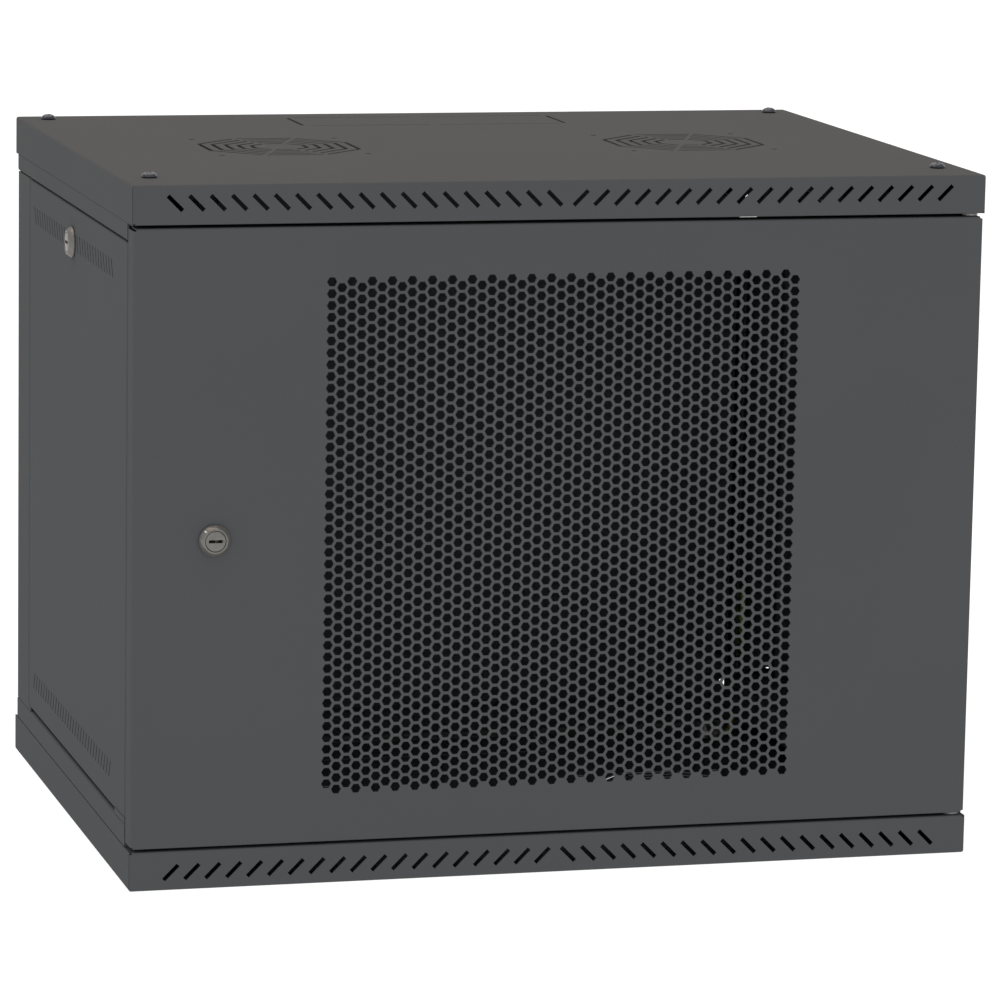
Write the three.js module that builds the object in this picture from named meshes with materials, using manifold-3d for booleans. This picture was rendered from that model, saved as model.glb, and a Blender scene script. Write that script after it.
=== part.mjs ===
// A 9-unit wall-mounted network cabinet: two pan-shaped covers on two side frames, a hinged front door with
// a cam lock, two pull-off side panels with cam locks, a rear panel and a pair of 19-inch equipment rails.
// Millimetres, +Z up, front at -Y, origin on the floor under the middle of the cabinet.
import * as THREE from "three";
import { mergeVertices } from "three/addons/utils/BufferGeometryUtils.js";
import Module from "manifold-3d";

const wasm = await Module();
wasm.setup();

// ---------- Driving dimensions ----------

const WIDTH = 600;
const DEPTH = 450;
const HEIGHT = 481.5;
const SHEET = 1.2; // covers, door, side panels and rear panel
const FRAME_SHEET = 1.5; // side frames and brackets
const RAIL_SHEET = 2; // equipment rails
const GAP = 0.3; // between pieces that touch
const RUNNING = 0.4; // radial clearance round a pin or a screw
const THROUGH = 20; // reach of a cutter that goes right through a sheet

const FRONT = -DEPTH / 2;
const BACK = DEPTH / 2;
const SIDE = WIDTH / 2;

const COVER = { height: 27, corner: 2.5, edge: 1.6, lipFront: 17, lipRear: 7 };
const COVER_SLOT = { width: 2.95, length: 14.2, first: 9.2, pitch: 14.54, perSide: 19, down: 12.3 };
const GRILLE = { x: 150, y: 1, rings: 5, inner: 18.8, step: 8.68, slot: 3.1, spoke: 3, fan: 52.5, hole: 2.2 };
const KNOCKOUT = { x: 99, y: [139, 197.5], end: 2.8, side: 1.3, bridge: 8, corner: 3.5 };
const COVER_SCREW = { x: 280, y: [-181, 202], head: 5.25, rise: 4, shank: 2.6, below: 11 };

const FRAME = {
  out: SIDE - 0.2, // where the frame and the side panels show
  nested: SIDE - SHEET - GAP, // where a rail is inside a cover
  in: 250,
  front: { right: -204.6, left: -206.8 }, // on the right the door's rear corner swings past
  back: 217,
  lip: 20,
  lipBack: 185,
};
const TOP_RAIL = { cover: HEIGHT - SHEET - GAP, open: 442, edge: HEIGHT - COVER.height - GAP };
const BOTTOM_RAIL = { cover: SHEET + GAP, open: 43, edge: COVER.height + 0.7 };
const JOGGLE = 2; // height over which a rail's web steps in, to nest in the cover
const POST_Z = [BOTTOM_RAIL.open + GAP, TOP_RAIL.open - GAP];
const FRONT_POST = { x: [262, 284], depth: 36 };
const REAR_POST = { front: 168.6, inner: 246, rib: 262.5, ribDepth: 22, ribGap: [387, 425], return: 13.5 };
const KEYHOLE = { x: 270.2, z: 399, round: 7.3, slot: 3.2, rise: 18 };
const RAIL_END = { tab: 262, play: 1, relief: [294, 296.8], reliefDepth: 3.5 };

const REAR_PANEL = { x: 258, z: [24, 457.5], y: 215.1, hem: 12 };
const PANEL_RELIEF = { x: 256.6, z: [34.6, 446.9], radius: 1.3 }; // pierced at the ends of the hems
const REAR_PANEL_SCREW = { x: 252, z: [60, 421.5] };
const REAR_SCREW = { head: 4.5, rise: 2.5, shank: 2.4, length: 11 };

const UNIT = 44.45; // one rack unit
const UNITS = 9;
const RACK = { inner: 225.4, outer: FRAME.in - GAP, front: -150, deep: 37, hem: 12, z: [21, 462] };
const RACK_HOLE = { x: 232.55, side: 9.5, up: [6.35, 22.225, 38.1] }; // up: centres within one rack unit
const RACK_BOLT = { y: -130, z: [31.5, 453.5], shank: 2.8, hex: 5.8, head: 4, nut: 5, reach: 12 };
const RACK_TRAVEL = [-40, 60];

const DOOR = { x: 299.2, z: [29, 452.3], depth: 17.5, corner: 2, notch: 2.2 };
const HINGE = { x: 292, y: -216.5, radius: 3, collar: 5, collarHeight: 2.3, washer: 5.5, rise: 7.2 };
const HINGE_LEVER = { radius: 2.5, reach: 22, down: 6, tail: 10 };
const HINGE_BRACKET = { x: [282, 297.7], height: 38, foot: 12 };
const STIFFENER = { x: 192, half: 17, crown: 9, z: [45, 436], depth: 13 };

const PANEL = { rear: 166.3, z: [46, 441], flange: 12, footFront: 35, footRear: 6 };
const VENT = { y: -4.9, pitch: 9.894, count: 31, lockGap: [14, 17], width: 2.4, length: 13.4, lean: 0.47 };
const VENT_ROWS = [{ z: 417.1, lean: 1, split: true }, { z: 69.9, lean: -1, split: false }];

// Cam lock, along its own axis: positive is out towards the key, zero is the sheet's outer face.
const LOCK = { flange: 11, face: 8.4, rise: 4.7, bore: 7.3, barrel: 9, barrelEnd: -19.9 };
const PLUG = { radius: 7, face: 4.4, end: -22, drive: 6, driveEnd: -24, key: [9.6, 2.1, 3] };
const CAM = { z: [-24.3, -22.3], hub: 9, half: 7 };
const CAM_SCREW = { z: [-27.6, -24.6], head: 5.5, shank: 2, end: -16.4 };
const LOCK_NUT = { hex: 13, z: [-6, -1.5] };
const DOOR_LOCK = { x: -242.6, z: 240.7, cam: 36 };
const SIDE_LOCK = { y: -7, z: 416.5, cam: 23 };
const KEEPER = { x: [278, 279.5], y: [-36, 24], low: 428, foot: 17 };

const EARTH = {
  stud: 3,
  hex: 5.5,
  wire: 2,
  barrel: 2.8,
  reach: 15,
  rear: [272, 84],
  floor: [228, 160],
  hole: [266.8, 208.2, 3.2], // x, y and radius of the hole in the rail
};

// Sides of round shapes, by size.
const ROUND_SIDES = 20;
const SCREW_SIDES = 12;
const SHANK_SIDES = 8;
const SMALL_SIDES = 6;

// ---------- Finishes ----------

const FINISHES = {
  paint: { color: 0x4f5153, roughness: 0.62, metalness: 0.15 },
  zinc: { color: 0xa3a5a4, roughness: 0.38, metalness: 0.9 },
  nickel: { color: 0x8c8984, roughness: 0.3, metalness: 1 },
  darkScrew: { color: 0x3b3d3f, roughness: 0.28, metalness: 0.9 },
  springSteel: { color: 0x77797b, roughness: 0.35, metalness: 1 },
  nylon: { color: 0x9a9a98, roughness: 0.55, metalness: 0 },
  earthWire: { color: 0xb7c21e, roughness: 0.5, metalness: 0 },
};

// ---------- Solids ----------

// Turns a closed three.js geometry into a solid; triangles that close up at a pole are dropped.
function solid(geometry) {
  geometry.deleteAttribute("normal");
  geometry.deleteAttribute("uv");
  const merged = mergeVertices(geometry, 1e-4);
  const index = merged.index.array;
  const triangles = [];
  for (let i = 0; i < index.length; i += 3) {
    const [a, b, c] = [index[i], index[i + 1], index[i + 2]];
    if (a !== b && b !== c && c !== a) triangles.push(a, b, c);
  }
  return new wasm.Manifold(
    new wasm.Mesh({
      numProp: 3,
      vertProperties: new Float32Array(merged.attributes.position.array),
      triVerts: new Uint32Array(triangles),
    }),
  );
}

const join = (...solids) => solids.reduce((sum, next) => sum.add(next));
const cut = (body, ...tools) => tools.reduce((rest, tool) => rest.subtract(tool), body);

// A box between two limits on each axis.
function slab([x0, x1], [y0, y1], [z0, z1]) {
  const box = new THREE.BoxGeometry(x1 - x0, y1 - y0, z1 - z0);
  return solid(box.translate((x0 + x1) / 2, (y0 + y1) / 2, (z0 + z1) / 2));
}

// A round or many-sided bar from one height to another along Z, about the Z axis.
function bar(radius, z0, z1, sides = SCREW_SIDES, topRadius = radius) {
  const rod = new THREE.CylinderGeometry(topRadius, radius, z1 - z0, sides);
  return solid(rod.rotateX(Math.PI / 2).translate(0, 0, (z0 + z1) / 2));
}

// An outline in X and Y, drawn out along Z.
function prism(points, z0, z1) {
  const outline = new THREE.Shape(points.map(([x, y]) => new THREE.Vector2(x, y)));
  const drawn = new THREE.ExtrudeGeometry(outline, { depth: z1 - z0, bevelEnabled: false });
  return solid(drawn.translate(0, 0, z0));
}

const QUARTER = 90; // manifold-3d turns in degrees
const alongY = (body) => body.rotate([-QUARTER, 0, 0]);
const alongX = (body) => body.rotate([0, QUARTER, 0]);

// A domed screw head on a shank, pointing down along Z with the head's seat at zero.
function domedScrew(head, rise, shank, length) {
  const brim = rise * 0.4;
  return join(
    bar(head, 0, brim, SCREW_SIDES),
    bar(head, brim, rise, SCREW_SIDES, head * 0.55),
    bar(shank, -length, 0.5, SHANK_SIDES),
  );
}

// ---------- The scene graph ----------

const cabinet = new THREE.Group();
const rightSide = new THREE.Group();
const leftSide = new THREE.Group();
leftSide.scale.x = -1;
cabinet.add(rightSide, leftSide);

function add(group, name, body, finish) {
  const made = body.getMesh();
  const geometry = new THREE.BufferGeometry();
  geometry.setAttribute("position", new THREE.BufferAttribute(new Float32Array(made.vertProperties), 3));
  geometry.setIndex(new THREE.BufferAttribute(new Uint32Array(made.triVerts), 1));
  geometry.computeVertexNormals();
  const material = new THREE.MeshStandardMaterial({ ...FINISHES[finish], flatShading: true });
  const mesh = new THREE.Mesh(geometry, material);
  mesh.name = name;
  group.add(mesh);
  return mesh;
}

// ---------- Covers ----------

// One octagonal ring of the grille, as the solid that is cut away.
function octagonRing(apothem, width) {
  const corner = Math.cos(Math.PI / 8);
  const turn = 22.5;
  const outer = bar((apothem + width / 2) / corner, -THROUGH, THROUGH, 8).rotate([0, 0, turn]);
  const inner = bar((apothem - width / 2) / corner, -THROUGH - 1, THROUGH + 1, 8).rotate([0, 0, turn]);
  return outer.subtract(inner);
}

// Rings of slots held by four spokes, and the four holes of a fan.
function grilleCutter() {
  const rings = [];
  for (let i = 0; i < GRILLE.rings; i++) rings.push(octagonRing(GRILLE.inner + i * GRILLE.step, GRILLE.slot));
  const spokes = [67.5, 112.5].map((angle) =>
    slab([-80, 80], [-GRILLE.spoke / 2, GRILLE.spoke / 2], [-THROUGH - 1, THROUGH + 1]).rotate([0, 0, angle]),
  );
  const hole = bar(GRILLE.hole, -THROUGH, THROUGH, SMALL_SIDES);
  const corners = [GRILLE.fan, -GRILLE.fan];
  const holes = corners.flatMap((x) => corners.map((y) => hole.translate([x, y, 0])));
  return join(cut(join(...rings), ...spokes), ...holes);
}

// The cut line round the cable knock-out, broken at its corners and at the middle of its front and rear.
function knockoutCutter() {
  const { x, y, end, side, bridge, corner } = KNOCKOUT;
  const through = [-THROUGH, THROUGH];
  const lines = [];
  for (const sign of [-1, 1]) {
    const span = (a, b) => [sign * a, sign * b].sort((m, n) => m - n);
    lines.push(slab(span(x, x + end), [y[0] + corner, y[1] - corner], through));
    lines.push(slab(span(bridge / 2, x - corner), [y[0], y[0] + side], through));
    lines.push(slab(span(bridge / 2, x - corner), [y[1] - side, y[1]], through));
  }
  return join(...lines);
}

// Slanted slots along the front wall, leaning in towards the middle.
function coverSlots() {
  const slots = [];
  for (const side of [-1, 1]) {
    for (let i = 0; i < COVER_SLOT.perSide; i++) {
      const tool = slab(
        [-COVER_SLOT.width / 2, COVER_SLOT.width / 2],
        [FRONT - 3, FRONT + 3],
        [-COVER_SLOT.length / 2, COVER_SLOT.length / 2],
      );
      const x = side * (COVER_SLOT.first + i * COVER_SLOT.pitch);
      slots.push(tool.rotate([0, side * 45, 0]).translate([x, 0, HEIGHT - COVER_SLOT.down]));
    }
  }
  return slots;
}

// A pan open towards the cabinet's middle, with turned lips along its front and rear; drawn as the top cover.
function coverBody() {
  const low = HEIGHT - COVER.height;
  const outline = new THREE.Shape();
  const [hx, hy, r] = [SIDE - COVER.edge, BACK - COVER.edge, COVER.corner - COVER.edge];
  outline.absarc(hx - r, hy - r, r, 0, Math.PI / 2);
  outline.absarc(-hx + r, hy - r, r, Math.PI / 2, Math.PI);
  outline.absarc(-hx + r, -hy + r, r, Math.PI, 1.5 * Math.PI);
  outline.absarc(hx - r, -hy + r, r, 1.5 * Math.PI, 2 * Math.PI);
  const drawn = new THREE.ExtrudeGeometry(outline, {
    depth: COVER.height,
    bevelThickness: COVER.edge,
    bevelSize: COVER.edge,
    bevelSegments: 2,
    curveSegments: 2,
  });
  drawn.translate(0, 0, low - COVER.edge);
  const below = slab([-SIDE - 1, SIDE + 1], [FRONT - 1, BACK + 1], [low - 10, low]);
  const across = [-SIDE + SHEET, SIDE - SHEET];
  const hollow = slab(across, [FRONT + SHEET, BACK - SHEET], [low + SHEET, HEIGHT - SHEET]);
  const mouth = slab(across, [FRONT + COVER.lipFront, BACK - COVER.lipRear], [low - 1, low + SHEET + 1]);
  const tools = [below, hollow, mouth, ...coverSlots()];
  for (const side of [-1, 1]) {
    tools.push(grilleCutter().translate([side * GRILLE.x, GRILLE.y, HEIGHT]));
    tools.push(bar(HINGE.radius + RUNNING, low - 1, low + 3).translate([side * HINGE.x, HINGE.y, 0]));
    for (const y of COVER_SCREW.y) {
      const hole = bar(COVER_SCREW.shank + RUNNING, HEIGHT - 5, HEIGHT + 5, SHANK_SIDES);
      tools.push(hole.translate([side * COVER_SCREW.x, y, 0]));
    }
  }
  tools.push(knockoutCutter().translate([0, 0, HEIGHT]));
  return cut(solid(drawn), ...tools);
}

function buildCovers() {
  const cover = coverBody();
  add(cabinet, "top_cover", cover, "paint");
  const bottom = add(cabinet, "bottom_cover", cover, "paint");
  bottom.scale.z = -1;
  bottom.position.z = HEIGHT;
  const names = ["front", "rear"];
  COVER_SCREW.y.forEach((y, i) => {
    for (const [group, side] of [[rightSide, "right"], [leftSide, "left"]]) {
      const { x, head, rise, shank, below } = COVER_SCREW;
      const top = domedScrew(head, rise - GAP, shank, below).translate([x, y, HEIGHT + GAP]);
      add(group, `top_cover_screw_${names[i]}_${side}`, top, "darkScrew");
      const seat = BOTTOM_RAIL.cover + FRAME_SHEET + GAP;
      const low = domedScrew(head, rise - GAP, shank, seat - GAP).translate([x, y, seat]);
      add(group, `bottom_cover_screw_${names[i]}_${side}`, low, "darkScrew");
    }
  });
}

// ---------- Side frames, drawn for the right side ----------

// A channel along the cabinet's depth: a web flush with the cover that steps in to nest inside it, two
// flanges and a lip for the rack bolts.
function depthRail(rail, boltZ, side) {
  const up = Math.sign(rail.cover - rail.open);
  const span = (a, b) => (a < b ? [a, b] : [b, a]);
  const front = FRAME.front[side];
  const whole = [front, FRAME.back];
  const web = slab([FRAME.out - FRAME_SHEET, FRAME.out], whole, span(rail.edge, rail.open));
  const nestedZ = span(rail.cover, rail.edge - up * JOGGLE);
  const nested = slab([FRAME.nested - FRAME_SHEET, FRAME.nested], whole, nestedZ);
  const coverFlange = slab([FRAME.in, FRAME.nested], whole, span(rail.cover, rail.cover - up * FRAME_SHEET));
  const openFlange = slab([FRAME.in, FRAME.out], whole, span(rail.open, rail.open + up * FRAME_SHEET));
  const panelNotch = slab(
    [FRAME.in - 1, REAR_PANEL.x + GAP],
    [REAR_PANEL.y - SHEET - 1, FRAME.back + 1],
    span(rail.cover - up, rail.open - up),
  );
  const tab = slab(
    [RAIL_END.tab, FRAME.nested],
    [FRAME.back - FRAME_SHEET, FRAME.back],
    span(rail.cover - up * (FRAME_SHEET + RAIL_END.play), rail.open + up * (FRAME_SHEET + RAIL_END.play)),
  );
  const relief = slab(
    RAIL_END.relief,
    [FRAME.back - RAIL_END.reliefDepth, FRAME.back + 1],
    span(rail.open - up, rail.open + up * (FRAME_SHEET + RAIL_END.play)),
  );
  const lipEnd = rail.open + up * (FRAME.lip + FRAME_SHEET);
  const lip = slab([FRAME.in, FRAME.in + FRAME_SHEET], [front, FRAME.lipBack], span(rail.open, lipEnd));
  const half = RACK_BOLT.shank + RUNNING + 0.2;
  const slotY = [RACK_BOLT.y + RACK_TRAVEL[0] - half, RACK_BOLT.y + RACK_TRAVEL[1] + half];
  const slot = slab([FRAME.in - 1, FRAME.in + 3], slotY, [boltZ - half, boltZ + half]);
  const hole = bar(COVER_SCREW.shank + RUNNING, rail.cover - 4, rail.cover + 4, SHANK_SIDES);
  const holes = COVER_SCREW.y.map((y) => hole.translate([COVER_SCREW.x, y, 0]));
  return cut(join(web, nested, coverFlange, openFlange, lip, tab), panelNotch, relief, slot, ...holes);
}

// The lower rail also has a hole over each cover screw and one for the earth wire.
function bottomRailBody(side) {
  const [wireX, wireY, wireRadius] = EARTH.hole;
  const wireHole = bar(wireRadius, BOTTOM_RAIL.open - 4, BOTTOM_RAIL.open + 4).translate([wireX, wireY, 0]);
  const access = COVER_SCREW.y.map((y) =>
    bar(COVER_SCREW.head + 1.5, BOTTOM_RAIL.open - 4, BOTTOM_RAIL.open + 4).translate([COVER_SCREW.x, y, 0]),
  );
  return cut(depthRail(BOTTOM_RAIL, RACK_BOLT.z[0], side), wireHole, ...access);
}

// A channel open towards the middle of the cabinet; the door's cam swings in behind its front flange.
function frontPostBody(side) {
  const [x0, x1] = FRONT_POST.x;
  const [y0, y1] = [FRAME.front[side], FRAME.front[side] + FRONT_POST.depth];
  return join(
    slab([x1 - FRAME_SHEET, x1], [y0, y1], POST_Z),
    slab([x0, x1], [y0, y0 + FRAME_SHEET], POST_Z),
    slab([x0, x1], [y1 - FRAME_SHEET, y1], POST_Z),
  );
}

// The post at the rear corner, with a rib beside the rear panel and a keyhole for hanging on a wall.
function rearPostBody() {
  const y1 = FRAME.back;
  const flangeY = [y1 - FRAME_SHEET, y1];
  const body = join(
    slab([FRAME.out - FRAME_SHEET, FRAME.out], [REAR_POST.front, y1], POST_Z),
    slab([REAR_POST.inner, FRAME.out], flangeY, POST_Z),
    slab([REAR_POST.rib, REAR_POST.rib + FRAME_SHEET], [y1 - REAR_POST.ribDepth, y1], POST_Z),
    slab([FRAME.out - REAR_POST.return, FRAME.out], [REAR_POST.front, REAR_POST.front + FRAME_SHEET], POST_Z),
  );
  const { x, z: keyZ, round, slot, rise } = KEYHOLE;
  const ribX = [REAR_POST.rib - 1, REAR_POST.rib + FRAME_SHEET + 1];
  const tools = [
    slab(ribX, [y1 - REAR_POST.ribDepth - 1, y1 - FRAME_SHEET], REAR_POST.ribGap), // clears the screw's head
    alongY(bar(round, -4, 4)).translate([x, y1, keyZ]),
    slab([x - slot, x + slot], [y1 - 4, y1 + 4], [keyZ, keyZ + rise]),
  ];
  for (const z of REAR_PANEL_SCREW.z) {
    const hole = alongY(bar(REAR_SCREW.shank + RUNNING, -4, 4, SHANK_SIDES));
    tools.push(hole.translate([REAR_PANEL_SCREW.x, y1, z]));
  }
  return cut(body, ...tools);
}

// A small angle under the top rail, which the side panel's cam turns up behind.
function keeperBody() {
  const [x0, x1] = KEEPER.x;
  const top = TOP_RAIL.open - GAP;
  return join(
    slab([x0, x1], KEEPER.y, [KEEPER.low, top]),
    slab([x1 - KEEPER.foot, x1], KEEPER.y, [top - FRAME_SHEET, top]),
  );
}

function buildSideFrames() {
  for (const [group, side] of [[rightSide, "right"], [leftSide, "left"]]) {
    add(group, `side_frame_${side}_top_rail`, depthRail(TOP_RAIL, RACK_BOLT.z[1], side), "paint");
    add(group, `side_frame_${side}_bottom_rail`, bottomRailBody(side), "paint");
    add(group, `side_frame_${side}_front_post`, frontPostBody(side), "paint");
    add(group, `side_frame_${side}_rear_post`, rearPostBody(), "paint");
    add(group, `side_lock_${side}_keeper`, keeperBody(), "paint");
  }
}

// ---------- Rear panel ----------

function buildRearPanel() {
  const { x, y, z, hem } = REAR_PANEL;
  const hemZ = [POST_Z[0] + 1, POST_Z[1] - 1];
  const plate = slab([-x, x], [y - SHEET, y], z);
  const hems = [slab([x - SHEET, x], [y - hem, y], hemZ), slab([-x, -x + SHEET], [y - hem, y], hemZ)];
  const holes = [];
  for (const [group, side, sign] of [[rightSide, "right", 1], [leftSide, "left", -1]]) {
    for (const reliefZ of PANEL_RELIEF.z) {
      const relief = alongY(bar(PANEL_RELIEF.radius, -4, 4, SHANK_SIDES));
      holes.push(relief.translate([sign * PANEL_RELIEF.x, y, reliefZ]));
    }
    REAR_PANEL_SCREW.z.forEach((screwZ, i) => {
      const hole = alongY(bar(REAR_SCREW.shank + RUNNING, -4, 4, SHANK_SIDES));
      holes.push(hole.translate([sign * REAR_PANEL_SCREW.x, y, screwZ]));
      const drawn = domedScrew(REAR_SCREW.head, REAR_SCREW.rise, REAR_SCREW.shank, REAR_SCREW.length);
      const screw = alongY(drawn).translate([REAR_PANEL_SCREW.x, FRAME.back + GAP, screwZ]);
      add(group, `rear_panel_screw_${["low", "high"][i]}_${side}`, screw, "darkScrew");
    });
  }
  add(cabinet, "rear_panel", cut(join(plate, ...hems), ...holes), "paint");
}

// ---------- Equipment rails, drawn for the right side ----------

// The rail's square holes repeat with the rack unit.
function rackRailBody() {
  const { inner, outer, front, deep, hem, z } = RACK;
  const body = join(
    slab([inner, outer], [front, front + RAIL_SHEET], z),
    slab([outer - RAIL_SHEET, outer], [front, front + deep], z),
    slab([inner, inner + RAIL_SHEET], [front, front + hem], z),
  );
  const tools = [];
  const firstUnit = (HEIGHT - UNITS * UNIT) / 2;
  const half = RACK_HOLE.side / 2;
  const hole = slab([RACK_HOLE.x - half, RACK_HOLE.x + half], [front - 1, front + 3], [-half, half]);
  for (let unit = 0; unit < UNITS; unit++) {
    for (const up of RACK_HOLE.up) tools.push(hole.translate([0, 0, firstUnit + unit * UNIT + up]));
  }
  for (const boltZ of RACK_BOLT.z) {
    const boltHole = alongX(bar(RACK_BOLT.shank + RUNNING, -4, 4, SHANK_SIDES));
    tools.push(boltHole.translate([outer, RACK_BOLT.y, boltZ]));
  }
  return cut(body, ...tools);
}

// A hexagon-headed bolt with its nut on the far side of the frame's lip, along X.
function rackBoltBody(z) {
  const seat = RACK.outer - RAIL_SHEET - GAP;
  const nut = FRAME.in + FRAME_SHEET + GAP;
  const body = join(
    alongX(bar(RACK_BOLT.hex, seat - RACK_BOLT.head, seat, 6)),
    alongX(bar(RACK_BOLT.shank, seat - 1, nut + RACK_BOLT.reach, SHANK_SIDES)),
    alongX(bar(RACK_BOLT.hex, nut, nut + RACK_BOLT.nut, 6)),
  );
  return body.translate([0, RACK_BOLT.y, z]);
}

function buildRackRails() {
  for (const [group, side] of [[rightSide, "right"], [leftSide, "left"]]) {
    add(group, `rack_rail_${side}`, rackRailBody(), "zinc");
    RACK_BOLT.z.forEach((z, i) => {
      add(group, `rack_rail_${side}_bolt_${["low", "high"][i]}`, rackBoltBody(z), "zinc");
    });
  }
}

// ---------- Cam locks ----------

// The fixed shell: a chamfered rosette outside the sheet and a barrel through it.
function lockHousing() {
  const rim = LOCK.rise - 3.2;
  const body = join(
    bar(LOCK.flange, GAP, rim, ROUND_SIDES),
    bar(LOCK.flange, rim, LOCK.rise, ROUND_SIDES, LOCK.face),
    bar(LOCK.barrel, LOCK.barrelEnd, GAP + 0.5, ROUND_SIDES),
  );
  return cut(body, bar(LOCK.bore, LOCK.barrelEnd - 1, LOCK.rise + 1, ROUND_SIDES));
}

// The key plug: a round body with a keyway in its face and a square drive behind for the cam.
function lockPlug() {
  const [keyLength, keyWidth, keyDepth] = PLUG.key;
  const d = PLUG.drive / 2;
  const body = join(
    bar(PLUG.radius, PLUG.end, PLUG.face, ROUND_SIDES),
    slab([-d, d], [-d, d], [PLUG.driveEnd, PLUG.end + 1]),
  );
  const [length, width] = [keyLength / 2, keyWidth / 2];
  return cut(body, slab([-length, length], [-width, width], [PLUG.face - keyDepth, PLUG.face + 1]));
}

// A flat cam along +X with a square hole for the plug's drive.
function lockCam(length) {
  const outline = new THREE.Shape();
  const meet = Math.asin(CAM.half / CAM.hub);
  outline.absarc(0, 0, CAM.hub, meet, 2 * Math.PI - meet);
  outline.absarc(length - CAM.half, 0, CAM.half, -Math.PI / 2, Math.PI / 2);
  const drawn = new THREE.ExtrudeGeometry(outline, {
    depth: CAM.z[1] - CAM.z[0],
    bevelEnabled: false,
    curveSegments: 8,
  });
  const half = PLUG.drive / 2 + GAP;
  return cut(
    solid(drawn.translate(0, 0, CAM.z[0])),
    slab([-half, half], [-half, half], [CAM.z[0] - 1, CAM.z[1] + 1]),
  );
}

function camScrew() {
  return join(
    bar(CAM_SCREW.head, ...CAM_SCREW.z),
    bar(CAM_SCREW.shank, CAM_SCREW.z[0] + 1, CAM_SCREW.end, SHANK_SIDES),
  );
}

function lockNut() {
  return cut(bar(LOCK_NUT.hex, ...LOCK_NUT.z, 6), bar(LOCK.barrel + GAP, -9, 1, ROUND_SIDES));
}

// On the side panel, key side towards +X; the cam rests towards +Y.
function buildSideLocks() {
  const place = (body) => alongX(body).translate([FRAME.out, SIDE_LOCK.y, SIDE_LOCK.z]);
  const neck = bar(CAM_SCREW.shank, CAM_SCREW.z[1] - 1, PLUG.end, SMALL_SIDES);
  const screwed = join(lockPlug(), bar(CAM_SCREW.head, ...CAM_SCREW.z), neck);
  for (const [group, side] of [[rightSide, "right"], [leftSide, "left"]]) {
    add(group, `side_lock_${side}_housing`, place(lockHousing()), "nickel");
    add(group, `side_lock_${side}_nut`, place(lockNut()), "zinc");
    add(group, `side_lock_${side}_plug`, place(screwed.rotate([0, 0, QUARTER])), "nickel");
    add(group, `side_lock_${side}_cam`, place(lockCam(SIDE_LOCK.cam).rotate([0, 0, QUARTER])), "zinc");
  }
}

// On the door, key side towards -Y; the cam rests pointing down.
function buildDoorLock() {
  const place = (body) => body.rotate([QUARTER, 0, 0]).translate([DOOR_LOCK.x, FRONT, DOOR_LOCK.z]);
  const screwHole = bar(CAM_SCREW.shank + GAP, PLUG.driveEnd - 1, CAM_SCREW.end + 1, SHANK_SIDES);
  add(cabinet, "door_lock_housing", place(lockHousing()), "nickel");
  add(cabinet, "door_lock_nut", place(lockNut()), "zinc");
  add(cabinet, "door_lock_plug", place(cut(lockPlug(), screwHole)), "nickel");
  add(cabinet, "door_lock_cam", place(lockCam(DOOR_LOCK.cam).rotate([0, 0, -QUARTER])), "zinc");
  add(cabinet, "door_lock_cam_screw", place(camScrew()), "zinc");
}

// ---------- Side panels, drawn for the right side ----------

// Leaning vent slots in two rows; the upper row leaves room for the lock.
function ventCutters() {
  const tools = [];
  const angle = THREE.MathUtils.radToDeg(Math.atan(VENT.lean));
  for (const row of VENT_ROWS) {
    for (let i = 0; i < VENT.count; i++) {
      if (row.split && i >= VENT.lockGap[0] && i <= VENT.lockGap[1]) continue;
      const tool = slab(
        [-THROUGH, THROUGH],
        [-VENT.width / 2, VENT.width / 2],
        [-VENT.length / 2, VENT.length / 2],
      );
      const y = VENT.y + (i - (VENT.count - 1) / 2) * VENT.pitch;
      tools.push(tool.rotate([-row.lean * angle, 0, 0]).translate([FRAME.out, y, row.z]));
    }
  }
  return tools;
}

function sidePanelBody(side) {
  const [y0, y1] = [FRAME.front[side], PANEL.rear];
  const [z0, z1] = PANEL.z;
  const skin = [FRAME.out - SHEET, FRAME.out];
  const flange = [FRAME.out - PANEL.flange, FRAME.out];
  const footZ = [BOTTOM_RAIL.open + GAP, z0 + 1];
  const body = join(
    slab(skin, [y0, y1], [z0, z1]),
    slab(flange, [y0, y1], [z1 - SHEET, z1]),
    slab(flange, [y0, y1], [z0, z0 + SHEET]),
    slab(flange, [y0, y0 + SHEET], [z0, z1]),
    slab(flange, [y1 - SHEET, y1], [z0, z1]),
    slab(skin, [y0, y0 + PANEL.footFront], footZ),
    slab(skin, [y1 - PANEL.footRear, y1], footZ),
  );
  const lockHole = alongX(bar(LOCK.barrel + RUNNING, -4, 4, ROUND_SIDES));
  return cut(body, ...ventCutters(), lockHole.translate([FRAME.out, SIDE_LOCK.y, SIDE_LOCK.z]));
}

function buildSidePanels() {
  add(rightSide, "side_panel_right", sidePanelBody("right"), "paint");
  add(leftSide, "side_panel_left", sidePanelBody("left"), "paint");
}

// ---------- Door ----------

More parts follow.
